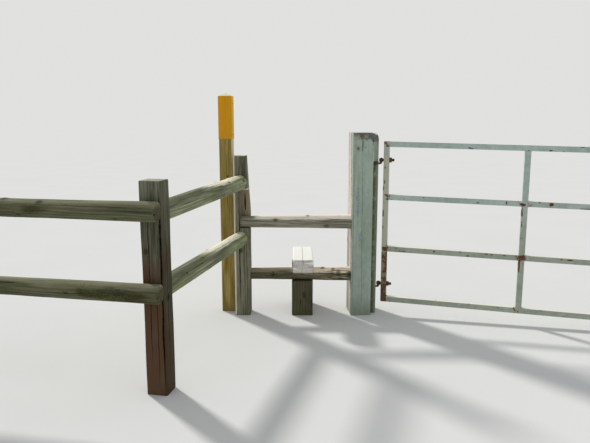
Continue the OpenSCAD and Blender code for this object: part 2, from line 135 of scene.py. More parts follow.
# Rust on the near side of the leaf, in mm: along it, rail, height above the rail, half length, half height
RUST_SEEN = [(u / 1000, rail, lift / 1000, long / 1000, high / 1000) for u, rail, lift, long, high in (
    (42, 3, -13, 8, 4), (583, 3, -9, 9, 4), (600, 3, -15, 14, 3), (1087, 3, -12, 12, 6),
    (1163, 3, -16, 10, 3), (1276, 3, 14, 26, 4), (48, 2, -12, 10, 5), (163, 2, -6, 6, 4),
    (297, 2, 10, 6, 3), (572, 2, 14, 7, 3), (653, 2, -7, 12, 6), (836, 2, 2, 6, 13), (938, 2, -4, 16, 11),
    (1040, 2, 13, 9, 5), (1117, 2, 4, 13, 12), (1317, 2, -13, 38, 4), (936, 2, -60, 6, 30),
    (938, 2, -135, 4, 22), (117, 1, 11, 7, 3), (180, 1, -9, 18, 4), (380, 1, 4, 7, 6), (553, 1, 12, 7, 4),
    (607, 1, -10, 14, 5), (725, 1, 11, 10, 4), (760, 1, 10, 12, 4), (843, 1, 12, 12, 4),
    (955, 1, 6, 18, 16), (1200, 1, 9, 16, 4), (1255, 1, 9, 20, 5), (938, 1, -60, 6, 34),
    (1420, 2, 10, 14, 6), (1560, 3, -12, 18, 5), (1610, 1, 12, 20, 4), (30, 3, -170, 4, 20),
    (30, 3, -260, 3, 12), (22, 2, 60, 3, 16), (22, 2, -110, 4, 24), (24, 2, -200, 4, 18),
    (36, 1, 0, 14, 14))]


# Numbers that vary smoothly over a surface

PRIMES = (374761393, 668265263, 1440670441, 974634777, 1274126177)
WORD = 0xFFFFFFFF
HALF_WORD = 0xFFFF


def lattice(i, j, k, seed):
    """A random number from 0 to 1 at each whole-number point."""
    n = (i * PRIMES[0] + j * PRIMES[1] + k * PRIMES[2] + seed * PRIMES[3]) & WORD
    n = ((n ^ (n >> 13)) * PRIMES[4]) & WORD
    return ((n ^ (n >> 16)) & HALF_WORD) / HALF_WORD


def noise(points, size, seed, octaves=1):
    """Smooth noise from -1 to 1 at points, with patches about size metres across, or (x, y, z) sizes."""
    q = points / np.asarray(size, float)
    total = np.zeros(q.shape[:-1])
    for octave in range(octaves):
        cell = np.floor(q).astype(np.int64)
        f = q - cell
        f = f * f * (3 - 2 * f)
        for dx, dy, dz in np.ndindex(2, 2, 2):
            share = np.abs(1 - dx - f[..., 0]) * np.abs(1 - dy - f[..., 1]) * np.abs(1 - dz - f[..., 2])
            corner = lattice(cell[..., 0] + dx, cell[..., 1] + dy, cell[..., 2] + dz, seed + octave)
            total += share * corner / 2 ** octave
        q = q * 2.03 + 11.7
    return total / (2 - 2 / 2 ** octaves) * 2 - 1


def line_noise(z, size, seed):
    """Smooth noise from -1 to 1 along a line."""
    return noise(np.stack([z, 0 * z, 0 * z], -1), size, seed, 2)


def ease(value, low, high):
    """0 below low, 1 above high, and a smooth step between them."""
    t = np.clip((value - low) / (high - low), 0, 1)
    return t * t * (3 - 2 * t)


def rounded_off(beyond, radius):
    """How far a rounded edge falls back, at a distance beyond the start of its rounding."""
    return radius - np.sqrt(np.maximum(radius ** 2 - np.maximum(beyond, 0) ** 2, 0))


# Places

def facing(origin, towards, up=(0, 0, 1)):
    """A place whose +Z looks towards a direction, with +Y as near to up as it can be."""
    z = Vector(towards).normalized()
    y = Vector(up)
    y = (y - z * y.dot(z)).normalized()
    turn = Matrix((y.cross(z), y, z)).transposed().to_4x4()
    return Matrix.Translation(Vector(origin)) @ turn


def stand(foot, turn, lift=0):
    """The place of something that stands on a foot, turned clockwise."""
    return Matrix.Translation(FEET[foot] + UP * lift) @ Matrix.Rotation(-turn, 4, "Z")


def middle_of(node):
    """The place on the ground under the middle of a node."""
    low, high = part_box(node)
    return Matrix.Translation(((low.x + high.x) / 2, (low.y + high.y) / 2, 0))


def moved(points, place):
    """Points carried along by a place."""
    m = np.array(place)
    return np.asarray(points) @ m[:3, :3].T + m[:3, 3]


def on_leaf(u, out, z):
    """A point of the leaf: along it, to its far side, and up."""
    return LEAF @ Vector((u, out, z))


def rail_z(level, u):
    """Height of a rail's middle, which falls towards the closing end."""
    return BOTTOM_RAIL_Z + level * RAIL_PITCH - (u - STILE_U) * math.tan(GATE_DROOP)


# Meshes

SHARP_ANGLE = math.radians(48)


def add_mesh(name, points, faces, slot, place=None, body="posts", replaces=(), marks=None):
    """Makes a piece of the object from points and faces, and lets it ride on a body."""
    mesh = bpy.data.meshes.new(name)
    mesh.from_pydata(np.asarray(points).tolist(), [], faces)
    mesh.validate()
    mesh.polygons.foreach_set("use_smooth", [True] * len(mesh.polygons))
    mesh.set_sharp_from_angle(angle=SHARP_ANGLE)
    for key, values in (marks or {}).items():
        mesh.attributes.new(key, "FLOAT", "POINT").data.foreach_set("value", values.astype(np.float32))
    mesh.materials.append(MATERIALS[slot])
    piece = bpy.data.objects.new(name, mesh)
    bpy.context.scene.collection.objects.link(piece)
    piece.matrix_world = place or Matrix.Identity(4)
    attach(piece, body)
    if replaces:
        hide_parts(*replaces)


def add_joined(name, parts, slot="rusty_steel", body="gate_leaf", marks=None):
    """Makes one piece from several sets of points and faces, each with the matrix that places it."""
    points, faces, count = [], [], 0
    for (part_points, part_faces), place in parts:
        points.append(moved(part_points, place))
        faces += [tuple(i + count for i in f) for f in part_faces]
        count += len(part_points)
    marks = {key: np.full(count, value) for key, value in (marks or {}).items()}
    add_mesh(name, np.vstack(points), faces, slot, body=body, marks=marks)


def band(first, second):
    """Quads between two closed rows of point numbers."""
    n = len(first)
    return [(first[j], first[(j + 1) % n], second[(j + 1) % n], second[j]) for j in range(n)]


def skin(rows):
    """Quads over closed rows of point numbers, each joined to the next."""
    return [face for first, second in zip(rows[:-1], rows[1:]) for face in band(first, second)]


def fan(row, tip):
    """Triangles from a closed row of point numbers to a tip."""
    return [(row[j], row[(j + 1) % len(row)], tip) for j in range(len(row))]


def numbered(count, columns, start=0):
    """Rows of point numbers."""
    return np.arange(start, start + count * columns).reshape(count, columns).tolist()


def outline(corners, arc_points=5):
    """Points round a closed outline that turns left. Each corner is (x, y, radius of its rounding)."""
    made = []
    for i, (x, y, radius) in enumerate(corners):
        corner = np.array([x, y])
        back = np.array(corners[i - 1][:2]) - corner
        ahead = np.array(corners[(i + 1) % len(corners)][:2]) - corner
        reach = min(np.linalg.norm(back), np.linalg.norm(ahead))
        back, ahead = back / np.linalg.norm(back), ahead / np.linalg.norm(ahead)
        half_turn = max(math.acos(np.clip(back @ ahead, -1, 1)) / 2, 0.1)
        cut = min(radius / math.tan(half_turn), 0.45 * reach) if half_turn < 1.55 else 0.05 * reach
        for t in np.linspace(0, 1, arc_points):
            made.append(corner + back * cut * (1 - t) ** 2 + ahead * cut * t * t)
    return np.array(made)


def rectangle(half_w, half_d, radius, arc_points=5):
    """Outline of a rectangle with its corners rounded, from the front left one."""
    return outline([(-half_w, -half_d, radius), (half_w, -half_d, radius), (half_w, half_d, radius),
                    (-half_w, half_d, radius)], arc_points)


def round_outline(radius, points=48):
    """Points round a circle, from +X towards +Y."""
    angle = np.arange(points) * 2 * math.pi / points
    return radius * np.stack([np.cos(angle), np.sin(angle)], -1)


def tapered(diameters, start, run):
    """Section of a round rail whose diameter changes evenly over a run of it."""
    def section(z):
        share = min(1, max(0, (z - start) / run))
        return round_outline((diameters[0] + (diameters[1] - diameters[0]) * share) / 2)
    return section


def measured(ring):
    """Length of a closed outline, and the share of it at which each of its points lies."""
    steps = np.linalg.norm(np.diff(np.vstack([ring, ring[:1]]), axis=0), axis=1)
    return steps.sum(), np.concatenate([[0], np.cumsum(steps)]) / steps.sum()


def along_outline(ring, known, shares):
    """Points at shares of the way round a closed outline, whose own points lie at the known shares."""
    closed = np.vstack([ring, ring[:1]])
    return np.stack([np.interp(shares, known, closed[:, axis]) for axis in (0, 1)], -1)


def swept(path, radius, sides, closed=False):
    """Points and faces of a round bar along a path. radius has one value for each point."""
    n = len(path)
    ahead = np.roll(path, -1, 0) - np.roll(path, 1, 0) if closed else np.gradient(path, axis=0)
    ahead /= np.linalg.norm(ahead, axis=1, keepdims=True)
    side = np.cross(ahead, (0, 0, 1))
    side /= np.maximum(np.linalg.norm(side, axis=1, keepdims=True), 1e-9)
    over = np.cross(side, ahead)
    angle = (np.arange(sides) * 2 * math.pi / sides)[None, :, None]
    rim = side[:, None] * np.cos(angle) + over[:, None] * np.sin(angle)
    points = (path[:, None] + radius[:, None, None] * rim).reshape(-1, 3)
    rows = numbered(n, sides)
    faces = []
    for i in range(n if closed else n - 1):
        faces += band(rows[(i + 1) % n], rows[i])
    if not closed:
        faces += [tuple(rows[0]), tuple(reversed(rows[-1]))]
    return points, faces


def turned(profile, steps):
    """Points and faces of a solid of revolution about +Z. The profile runs from axis to axis, upwards."""
    angle = np.arange(steps) * 2 * math.pi / steps
    points = [(0, 0, profile[0][1])]
    for radius, height in profile[1:-1]:
        points += [(radius * math.cos(a), radius * math.sin(a), height) for a in angle]
    points.append((0, 0, profile[-1][1]))
    rows = numbered(len(profile) - 2, steps, 1)
    return points, fan(rows[0][::-1], 0) + skin(rows) + fan(rows[-1], len(points) - 1)


# Timber: a roughened skin about an outline, with cracks, knots and checked ends

Crack = namedtuple("Crack", "at low high width depth wander lean", defaults=(0.0,))
Knot = namedtuple("Knot", "at z radius height")
KNOT_STRETCH = 1.35


def open_cracks(shares, z, cracks, perimeter, seed):
    """Draws columns of points together at each crack. Returns the new shares, the depth and the darkness that
    paints shade into each crack.
    """
    columns = shares.shape[1]
    spacing = 1 / columns
    reach = 4 * spacing
    depth = np.zeros_like(shares)
    hollow = np.zeros_like(shares)
    for k, c in enumerate(cracks):
        column = int(round(c.at / perimeter * columns)) % columns
        t = (z - c.low) / (c.high - c.low)
        taper = np.clip(np.minimum(t, 1 - t) * 5, 0, 1) ** 0.7
        drift = (c.wander * line_noise(z + 3.1 * k, 0.11, seed + k) + c.lean * (t - 0.5)) / perimeter
        drift = np.clip(drift, -0.7 * reach, 0.7 * reach)
        ragged = 0.75 + 0.25 * line_noise(z, 0.013, seed + 50 + k)
        half = c.width / 2 / perimeter * taper * ragged
        for step in range(-3, 4):
            j = (column + step) % columns
            away = abs(step) * spacing
            opened = half + (away - spacing) * (reach - half) / (reach - spacing) if step else 0 * half
            squeezed = np.sign(step) * opened + drift * (1 - away / reach)
            shares[:, j] += np.where(taper > 0, squeezed - step * spacing, 0)
            if step == 0:
                depth[:, j] = np.maximum(depth[:, j], c.depth * taper * ragged)
                hollow[:, j] = np.maximum(hollow[:, j], taper)
            elif abs(step) == 1:
                hollow[:, j] = np.maximum(hollow[:, j], 0.35 * taper)
    return shares, depth, hollow


def scattered_cracks(perimeter, length, count, seed, width, depth, gap=0.030):
    """Small drying cracks spread over a timber, none nearer to another than gap."""
    rng = np.random.default_rng(seed)
    made = []
    for _ in range(count * 4):
        at, low = rng.uniform(0, perimeter), rng.uniform(0.01, 0.85) * length
        high = min(low + rng.uniform(0.10, 0.45) * length, length * 0.99)
        clear = all(abs(at - c.at) > gap or high < c.low or low > c.high for c in made)
        if clear and len(made) < count:
            size = rng.uniform(0.6, 1.3)
            made.append(Crack(at, low, high, width * size, depth * size, 0.003))
    return made


def raise_knots(shares, z, knots, perimeter):
    """How far the surface rises at knots, or sinks where their height is negative, and their darkness."""
    rise = np.zeros_like(shares)
    dark = np.zeros_like(shares)
    for k in knots:
        across = (shares - k.at / perimeter + 0.5) % 1 - 0.5
        far = np.hypot(across * perimeter, (z[:, None] - k.z) / KNOT_STRETCH) / k.radius
        rise += k.height * np.exp(-far ** 2) * (1 - 0.35 * np.cos(far * 9) * (far < 1.2))
        dark = np.maximum(dark, np.exp(-far ** 4))
    return rise, dark


def stations(length, step, breaks, edge):
    """Heights of the rows along a timber, closer at its ends and at each break in its outline."""
    rows = list(np.linspace(0, length, max(4, round(length / step))))
    for b in breaks:
        rows = [r for r in rows if abs(r - b) > 0.002]
        rows += [b - 0.0004, b + 0.0004]
    rows += [edge * 0.25, edge * 0.6, edge, length - edge, length - edge * 0.6, length - edge * 0.25]
    return np.array(sorted(set(rows)))


def end_cap(points, marks, ring, centre, inward, checks, seed, levels=12):
    """Closes an end with rings that shrink to its pith, cut by radial checks with painted shade in them. Adds to
    points and marks.
    """
    ring_points = np.array([points[i] for i in ring])
    rows = [ring]
    for level in range(1, levels):
        share = 1 - level / levels
        row = centre + (ring_points - centre) * share
        hollow = np.zeros(len(ring))
        sunk = 0.0009 * noise(row, 0.006, seed, 2) - 0.0006
        for column, reach, depth in checks:
            j = int(column * len(ring)) % len(ring)
            if share > 1 - reach:
                hollow[j] = min(1, (share - 1 + reach) / 0.2)
                sunk[j] -= depth * hollow[j]
        rows += numbered(1, len(ring), len(points))
        points.extend(row - np.asarray(inward) * sunk[:, None])
        marks["hollow"].extend(hollow)
    points.append(centre)
    marks["hollow"].append(0)
    added = len(points) - len(marks["end"])
    marks["knot"].extend([0] * added)
    marks["end"].extend([1] * added)
    return skin(rows) + fan(rows[-1], len(points) - 1)


def surface(section, z, length, spacing, cracks, knots, grain, worn, edge, seed):
    """Rows of points round a timber at heights z, roughened, and how much painted crack shade and how knotty each
    point is.
    """
    bases = [section(h) for h in z]
    perimeter, known = measured(bases[0])
    columns = round(perimeter / spacing)
    shares = np.tile(np.arange(columns) / columns, (len(z), 1))
    shares, depth, hollow = open_cracks(shares, z, cracks, perimeter, seed)
    rise, knotty = raise_knots(shares, z, knots, perimeter)
    xy = np.stack([along_outline(base, known, row) for base, row in zip(bases, shares % 1)])
    along = np.roll(xy, -1, 1) - np.roll(xy, 1, 1)
    normal = np.stack([along[..., 1], -along[..., 0]], -1)
    normal /= np.maximum(np.linalg.norm(normal, axis=-1, keepdims=True), 1e-9)
    heights = np.broadcast_to(z[:, None], shares.shape)[..., None]
    where = np.concatenate([xy, heights], -1)
    ridges = noise(where, (0.004, 0.004, 0.16), seed, 3)
    swell = noise(where, (0.05, 0.05, 0.22), seed + 7, 2)
    rounding = rounded_off(edge - np.minimum(z, length - z)[:, None], edge)
    out = grain * ridges + worn * swell + rise - depth - rounding
    return np.concatenate([xy + normal * out[..., None], heights], -1), hollow, knotty


def timber(node, slot, place, section, length, grain, worn, paint, seed, kind="timber", step=0.006,
           spacing=0.0034, breaks=(), cracks=(), knots=(), edge=0.003, ends=None, checks=((), ()),
           pith=(0.008, -0.012), shape=None):
    """A timber along its own +Z, roughened about the outline that section(z) gives at each height."""
    z = stations(length, step, breaks, edge)
    full, hollow, knotty = surface(section, z, length, spacing, cracks, knots, grain, worn, edge, seed)
    if ends:
        low, high = [a + b * full[..., 0] + c * full[..., 1] for a, b, c in ends]
        full[..., 2] = low + full[..., 2] / length * (high - low)
    if shape:
        full = shape(full)
    points = list(full.reshape(-1, 3))
    marks = {"hollow": list(hollow.ravel()), "knot": list(knotty.ravel()), "end": [0] * hollow.size}
    rows = numbered(*hollow.shape)
    low_mid, high_mid = [row.mean(0) + np.array([*pith, 0]) * 0.5 for row in (full[0], full[-1])]
    low_checks = [(1 - at, *rest) for at, *rest in checks[0]]
    faces = skin(rows)
    faces += end_cap(points, marks, rows[0][::-1], low_mid, (0, 0, 1), low_checks, seed + 20)
    faces += end_cap(points, marks, rows[-1], high_mid, (0, 0, -1), checks[1], seed + 21)
    points = np.array(points)
    marks = {key: np.array(values, float) for key, values in marks.items()}
    marks.update(paint(points, marks))
    add_mesh(node + "_" + kind, points, faces, slot, place, replaces=(node,), marks=marks)


# Materials

def rgb(red, green, blue):
    """A colour as the photo's viewer sees it, turned into the renderer's linear values."""
    return [((c + 0.055) / 1.055) ** 2.4 if c > 0.04045 else c / 12.92 for c in (red, green, blue)] + [1]


class Finish:
    """One material, built a node at a time. Its methods from mark to mix return a socket."""

    def __init__(self, name, roughness, specular, metallic=0.0):
        self.material = bpy.data.materials.new(name)
        self.material.use_nodes = True
        self.tree = self.material.node_tree
        self.surface = self.tree.nodes["Principled BSDF"]
        self.put(self.surface, {"Roughness": roughness, "Metallic": metallic, "Specular IOR Level": specular})
        coordinates = self.tree.nodes.new("ShaderNodeTexCoord")
        self.place = coordinates.outputs["Object"]
        self.normal = coordinates.outputs["Normal"]

    def put(self, node, inputs):
        """Links or sets inputs of a node, and returns the node."""
        for socket, value in inputs.items():
            if isinstance(value, bpy.types.NodeSocket):
                self.tree.links.new(value, node.inputs[socket])
            elif value is not None:
                node.inputs[socket].default_value = value
        return node

    def add(self, kind, inputs):
        """A new node of a kind, with its inputs."""
        return self.put(self.tree.nodes.new(kind), inputs)

    def mark(self, name):
        """A number that the mesh carries."""
        node = self.add("ShaderNodeAttribute", {})
        node.attribute_name = name
        return node.outputs["Fac"]

    def stretched(self, along, shift):
        """The surface's place, with features longer along +Z where along is small."""
        inputs = {"Vector": self.place, "Scale": (1, 1, along), "Location": shift}
        return self.add("ShaderNodeMapping", inputs).outputs["Vector"]

    def noise(self, scale, detail, along=1, rough=0.55, shift=0.0):
        vector = self.stretched(along, (shift, shift * 0.7, shift * 1.3))
        inputs = {"Vector": vector, "Scale": scale, "Detail": detail, "Roughness": rough}
        return self.add("ShaderNodeTexNoise", inputs).outputs["Fac"]

    def rings(self, scale=95, wander=3.0, detail=3, detail_scale=1.2):
        """Growth rings round a pith beside the middle."""
        inputs = {"Vector": self.stretched(0.04, (-0.01, 0.01, 0)), "Scale": scale, "Distortion": wander,
                  "Detail": detail, "Detail Scale": detail_scale}
        node = self.add("ShaderNodeTexWave", inputs)
        node.wave_type = "RINGS"
        node.rings_direction = "Z"
        return node.outputs["Fac"]

    def math(self, operation, *values, clamp=False):
        node = self.add("ShaderNodeMath", dict(enumerate(values)))
        node.operation = operation
        node.use_clamp = clamp
        return node.outputs["Value"]

    def times(self, a, b):
        return self.math("MULTIPLY", a, b)

    def sum(self, total, *terms):
        """Adds terms to a total, each a value and its weight."""
        for value, weight in terms:
            total = self.math("MULTIPLY_ADD", value, weight, total)
        return total

    def vector(self, operation, output, *values):
        node = self.add("ShaderNodeVectorMath", dict(enumerate(values)))
        node.operation = operation
        return node.outputs[output]

    def dot(self, direction):
        """How far along a direction the surface lies."""
        return self.vector("DOT_PRODUCT", "Value", self.place, direction)

    def facing(self, direction):
        """1 where the surface faces a direction, 0 or less where it faces away."""
        return self.vector("DOT_PRODUCT", "Value", self.normal, direction)

    def nearest(self, along, up, spots):
        """Distance to the nearest oval, in its own sizes. Each is (along, up, half length, half height)."""
        place = self.add("ShaderNodeCombineXYZ", {0: along, 2: up}).outputs["Vector"]
        least = 9.0
        for a, z, long, high in spots:
            size, offset = (1 / long, 0, 1 / high), (-a / long, 0, -z / high)
            scaled = self.vector("MULTIPLY_ADD", "Vector", place, size, offset)
            least = self.math("MINIMUM", self.vector("LENGTH", "Value", scaled), least)
        return least

    def smooth(self, value, low, high):
        node = self.add("ShaderNodeMapRange", {"Value": value, "From Min": low, "From Max": high})
        node.interpolation_type = "SMOOTHSTEP"
        return node.outputs["Result"]

    def ramp(self, value, *stops):
        node = self.add("ShaderNodeValToRGB", {"Fac": value})
        elements = node.color_ramp.elements
        while len(elements) < len(stops):
            elements.new(0.5)
        for element, (position, colour) in zip(elements, stops):
            element.position = position
            element.color = rgb(*colour)
        return node.outputs["Color"]

    def mix(self, share, a, b, blend="MIX"):
        """Colour a with a share of b on it."""
        a, b = [rgb(*value) if isinstance(value, tuple) else value for value in (a, b)]
        node = self.tree.nodes.new("ShaderNodeMix")
        node.data_type = "RGBA"
        node.blend_type = blend
        return self.put(node, {0: share, 6: a, 7: b}).outputs[2]

    def finish(self, colour, height=None, distance=0.001, strength=0.6, roughness=None):
        self.put(self.surface, {"Base Color": colour, "Roughness": roughness})
        if height is not None:
            bump = self.add("ShaderNodeBump", {"Strength": strength, "Distance": distance, "Height": height})
            self.put(self.surface, {"Normal": bump.outputs["Normal"]})
        return self.material


def bare_timber(name, dark, middle, light, bleached, growth, end, tan, crack_shade_colour=(0.08, 0.065, 0.05)):
    """Weathered timber: streaks along the grain, growth rings, knots, cracks with painted shade in them, bleached
    tops, painted highlights where marked, lichen, and darkening where marked that is partly wet wood and partly
    painted shade.
    """
    f = Finish(name, roughness=0.92, specular=0.2)
    streak = f.noise(75, 6, 0.035, 0.68)
    fine = f.noise(330, 3, 0.05, 0.6, 2.0)
    broad = f.noise(8, 3, 0.3, 0.55, 5.0)
    speck = f.noise(190, 3, 0.6, 0.6, 9.0)
    ring = f.rings()
    tone = f.sum(f.times(streak, 0.42), (fine, 0.18), (broad, 0.30), (ring, 0.10))
    colour = f.ramp(tone, (0.36, dark), (0.49, middle), (0.62, light))
    colour = f.mix(f.times(f.mark("tan"), f.smooth(broad, 0.35, 0.6)), colour, tan)
    end_dark, end_light = tuple(c * 0.72 for c in end), tuple(min(1, c * 1.12) for c in end)
    end_tone = f.sum(f.times(ring, 0.5), (speck, 0.5))
    end_colour = f.ramp(end_tone, (0.25, end_dark), (0.6, end), (0.85, end_light))
    colour = f.mix(f.mark("end"), colour, end_colour)
    pale = f.times(f.mark("bleach"), f.smooth(f.sum(streak, (fine, 0.35)), 0.42, 0.72))
    colour = f.mix(pale, colour, bleached)
    grown = f.smooth(f.sum(speck, (broad, 0.8), (f.mark("growth"), 0.55)), 1.18, 1.42)
    colour = f.mix(f.times(grown, 0.8), colour, growth)
    # Darkens where marked: partly wet wood, partly painted shade on shaded sides, undersides and pieces in shade.
    colour = f.mix(f.mark("damp"), colour, (0.67, 0.67, 0.62), "MULTIPLY")
    colour = f.mix(f.times(f.mark("knot"), 0.65), colour, tuple(c * 0.55 for c in dark))
    # Painted shade inside cracks and checks.
    colour = f.mix(f.smooth(f.mark("hollow"), 0.15, 0.75), colour, crack_shade_colour)
    height = f.sum(f.times(streak, 0.5), (fine, 0.35), (speck, 0.3))
    return f.finish(colour, height, distance=0.0022, strength=0.7)


def painted_timber():
    """Grey-green paint gone chalky over cracked softwood, with bare wood on the weather side, painted shade in its
    cracks, rebate and along one side, and a painted highlight on its shoulder.
    """
    f = Finish("painted_timber", roughness=0.78, specular=0.25)
    streak = f.noise(60, 6, 0.03, 0.7)
    fine = f.noise(260, 4, 0.08, 0.65, 3.0)
    broad = f.noise(5, 4, 0.35, 0.6, 6.0)
    speck = f.noise(150, 3, 0.7, 0.6, 1.0)
    blotch = f.noise(34, 4, 0.6, 0.6, 12.0)
    patches = f.sum(f.times(broad, 0.3), (blotch, 0.3))
    tone = f.sum(f.times(streak, 0.4), (patches, 1))
    paint = f.ramp(tone, (0.36, (0.575, 0.62, 0.55)), (0.5, (0.65, 0.71, 0.65)), (0.63, (0.72, 0.775, 0.735)))
    paint = f.mix(f.times(f.smooth(fine, 0.50, 0.68), 0.35), paint, (0.54, 0.54, 0.46))
    wood = f.ramp(f.sum(f.times(streak, 0.6), (fine, 0.4)),
                  (0.34, (0.46, 0.43, 0.40)), (0.5, (0.80, 0.765, 0.73)), (0.64, (0.97, 0.94, 0.91)))
    bare = f.smooth(f.sum(speck, (streak, 0.7), (f.mark("bare"), 0.75)), 1.20, 1.32)
    # Painted highlight: where the light mark is set, the surface turns near white.
    colour = f.mix(f.mark("light"), f.mix(bare, paint, wood), (1.0, 0.985, 0.96))
    chips = f.smooth(f.sum(blotch, (fine, 0.35)), 0.88, 0.93)
    colour = f.mix(f.times(chips, 0.7), colour, (0.36, 0.33, 0.28))
    # Olive wet wood with painted shade, where marked in the rebate and on the chamfer.
    damp = f.times(f.mark("damp"), f.smooth(f.sum(blotch, (speck, 0.5)), 0.40, 0.78))
    colour = f.mix(f.times(damp, 0.95), colour, (0.37, 0.38, 0.235))
    weathered = f.smooth(f.sum(f.mark("weather"), (speck, 0.5), (blotch, 0.5)), 0.78, 1.12)
    dark = f.ramp(f.sum(f.times(speck, 0.5), (blotch, 0.5)),
                  (0.38, (0.25, 0.24, 0.26)), (0.5, (0.41, 0.40, 0.41)), (0.62, (0.54, 0.53, 0.48)))
    colour = f.mix(f.times(weathered, 0.9), colour, dark)
    smear = f.times(f.mark("smear"), f.smooth(f.sum(speck, (blotch, 0.7)), 0.80, 0.92))
    colour = f.mix(f.times(smear, 0.8), colour, (0.45, 0.52, 0.63))
    # Painted shade: brown on the gate post's left face where marked.
    colour = f.mix(f.times(f.mark("stain"), f.smooth(speck, 0.3, 0.6)), colour, (0.38, 0.33, 0.27))
    lichen = f.times(f.mark("growth"), f.smooth(f.sum(speck, (blotch, 0.6)), 0.62, 0.84))
    colour = f.mix(lichen, colour, (0.66, 0.64, 0.47))
    colour = f.mix(f.times(f.mark("knot"), 0.7), colour, (0.40, 0.36, 0.20))
    # Painted shade inside cracks and checks, and under the top end of the rebate.
    colour = f.mix(f.smooth(f.mark("hollow"), 0.15, 0.7), colour, (0.24, 0.16, 0.11))
    height = f.sum(f.times(fine, 0.5), (bare, -0.5), (streak, 0.4))
    return f.finish(colour, height, distance=0.0016, strength=0.6)


def painted_steel():
    """Pale blue-grey paint, rusted where water lies, at welds and low on the hanging stile, with a painted sunlit
    tint on top faces and painted warm shade lower down.
    """
    f = Finish("painted_steel", roughness=0.5, specular=0.45)
    along = (math.cos(GATE_YAW), -math.sin(GATE_YAW), 0)
    u = f.math("SUBTRACT", f.dot(along), Vector(along).dot(PIN))
    z = f.dot((0, 0, 1))
    mottled = f.noise(30, 4, 1, 0.6)
    fine = f.noise(160, 4, 1, 0.65, 3.0)
    broad = f.noise(3.2, 3, 1, 0.5, 8.0)
    spots = f.noise(26, 3, 1, 0.6, 14.0)
    tone = f.sum(f.times(mottled, 0.5), (broad, 0.5))
    paint = f.ramp(tone, (0.35, (0.62, 0.685, 0.665)), (0.5, (0.69, 0.755, 0.73)), (0.65, (0.76, 0.82, 0.80)))
    to_upright = f.math("PINGPONG", f.math("SUBTRACT", u, STILE_U + TUBE_W / 2), GATE_BAY / 2)
    level = f.math("MULTIPLY_ADD", u, math.tan(GATE_DROOP), f.math("SUBTRACT", z, BOTTOM_RAIL_Z))
    to_rail = f.math("PINGPONG", level, RAIL_PITCH / 2)
    junction = f.times(f.smooth(to_upright, 0.085, 0.015), f.smooth(to_rail, 0.075, 0.012))
    hanging = f.smooth(u, 0.062, 0.055)
    rot = f.times(f.smooth(f.sum(z, (mottled, 0.2)), 0.62, 0.50), hanging)
    paint = f.mix(f.times(hanging, f.smooth(mottled, 0.3, 0.55)), paint, (0.75, 0.74, 0.65))
    paint = f.mix(f.times(rot, 0.8), paint, (0.47, 0.455, 0.31))
    # Painted shade and bounced light: the paint is darker and warmer lower down, away from the hanging stile.
    low_warm_shade = f.math("SUBTRACT", f.smooth(z, 0.98, 0.52), hanging, clamp=True)
    paint = f.mix(low_warm_shade, paint, (0.925, 0.895, 0.84), "MULTIPLY")
    # Painted sunlight: faces that look up are tinted paler and warmer.
    top = f.smooth(f.facing((0, 0, 1)), 0.55, 0.85)
    paint = f.mix(f.times(top, 0.9), paint, (0.97, 0.955, 0.90))
    patches = [(a, rail * RAIL_PITCH + lift, 1.5 * long, 1.5 * high)
               for a, rail, lift, long, high in RUST_SEEN]
    near = f.smooth(f.nearest(u, level, patches), 1.1, 0.35)
    ground = f.smooth(z, 0.20, 0.05)
    drive = f.sum(f.times(junction, 0.10), (rot, 0.29), (near, 0.30), (ground, 0.05))
    rusty = f.sum(spots, (fine, 0.22), (drive, 1))
    core = f.smooth(rusty, 0.835, 0.875)
    halo = f.smooth(rusty, 0.77, 0.86)
    rust = f.ramp(fine, (0.3, (0.24, 0.15, 0.11)), (0.5, (0.42, 0.285, 0.20)), (0.7, (0.56, 0.39, 0.26)))
    colour = f.mix(f.times(halo, 0.6), paint, (0.60, 0.48, 0.36))
    colour = f.mix(core, colour, rust)
    grime = f.smooth(f.sum(fine, (mottled, 0.6)), 0.92, 1.1)
    colour = f.mix(f.times(grime, 0.35), colour, (0.38, 0.40, 0.36))
    rough = f.math("MULTIPLY_ADD", halo, 0.35, 0.48)
    height = f.sum(f.times(core, 0.8), (f.times(core, fine), 1.2))
    return f.finish(colour, height, distance=0.0012, strength=0.8, roughness=rough)


def rusty_steel():
    """Iron rusted through its paint to dark brown scale."""
    f = Finish("rusty_steel", roughness=0.82, specular=0.3, metallic=0.1)
    scale = f.noise(120, 5, 1, 0.7)
    broad = f.noise(28, 3, 1, 0.5, 4.0)
    colour = f.ramp(scale, (0.30, (0.19, 0.125, 0.095)), (0.5, (0.36, 0.235, 0.165)),
                    (0.72, (0.52, 0.35, 0.23)))
    colour = f.mix(f.smooth(broad, 0.55, 0.75), colour, (0.43, 0.29, 0.20))
    return f.finish(colour, f.sum(scale, (broad, 0.4)), distance=0.0015, strength=0.8)


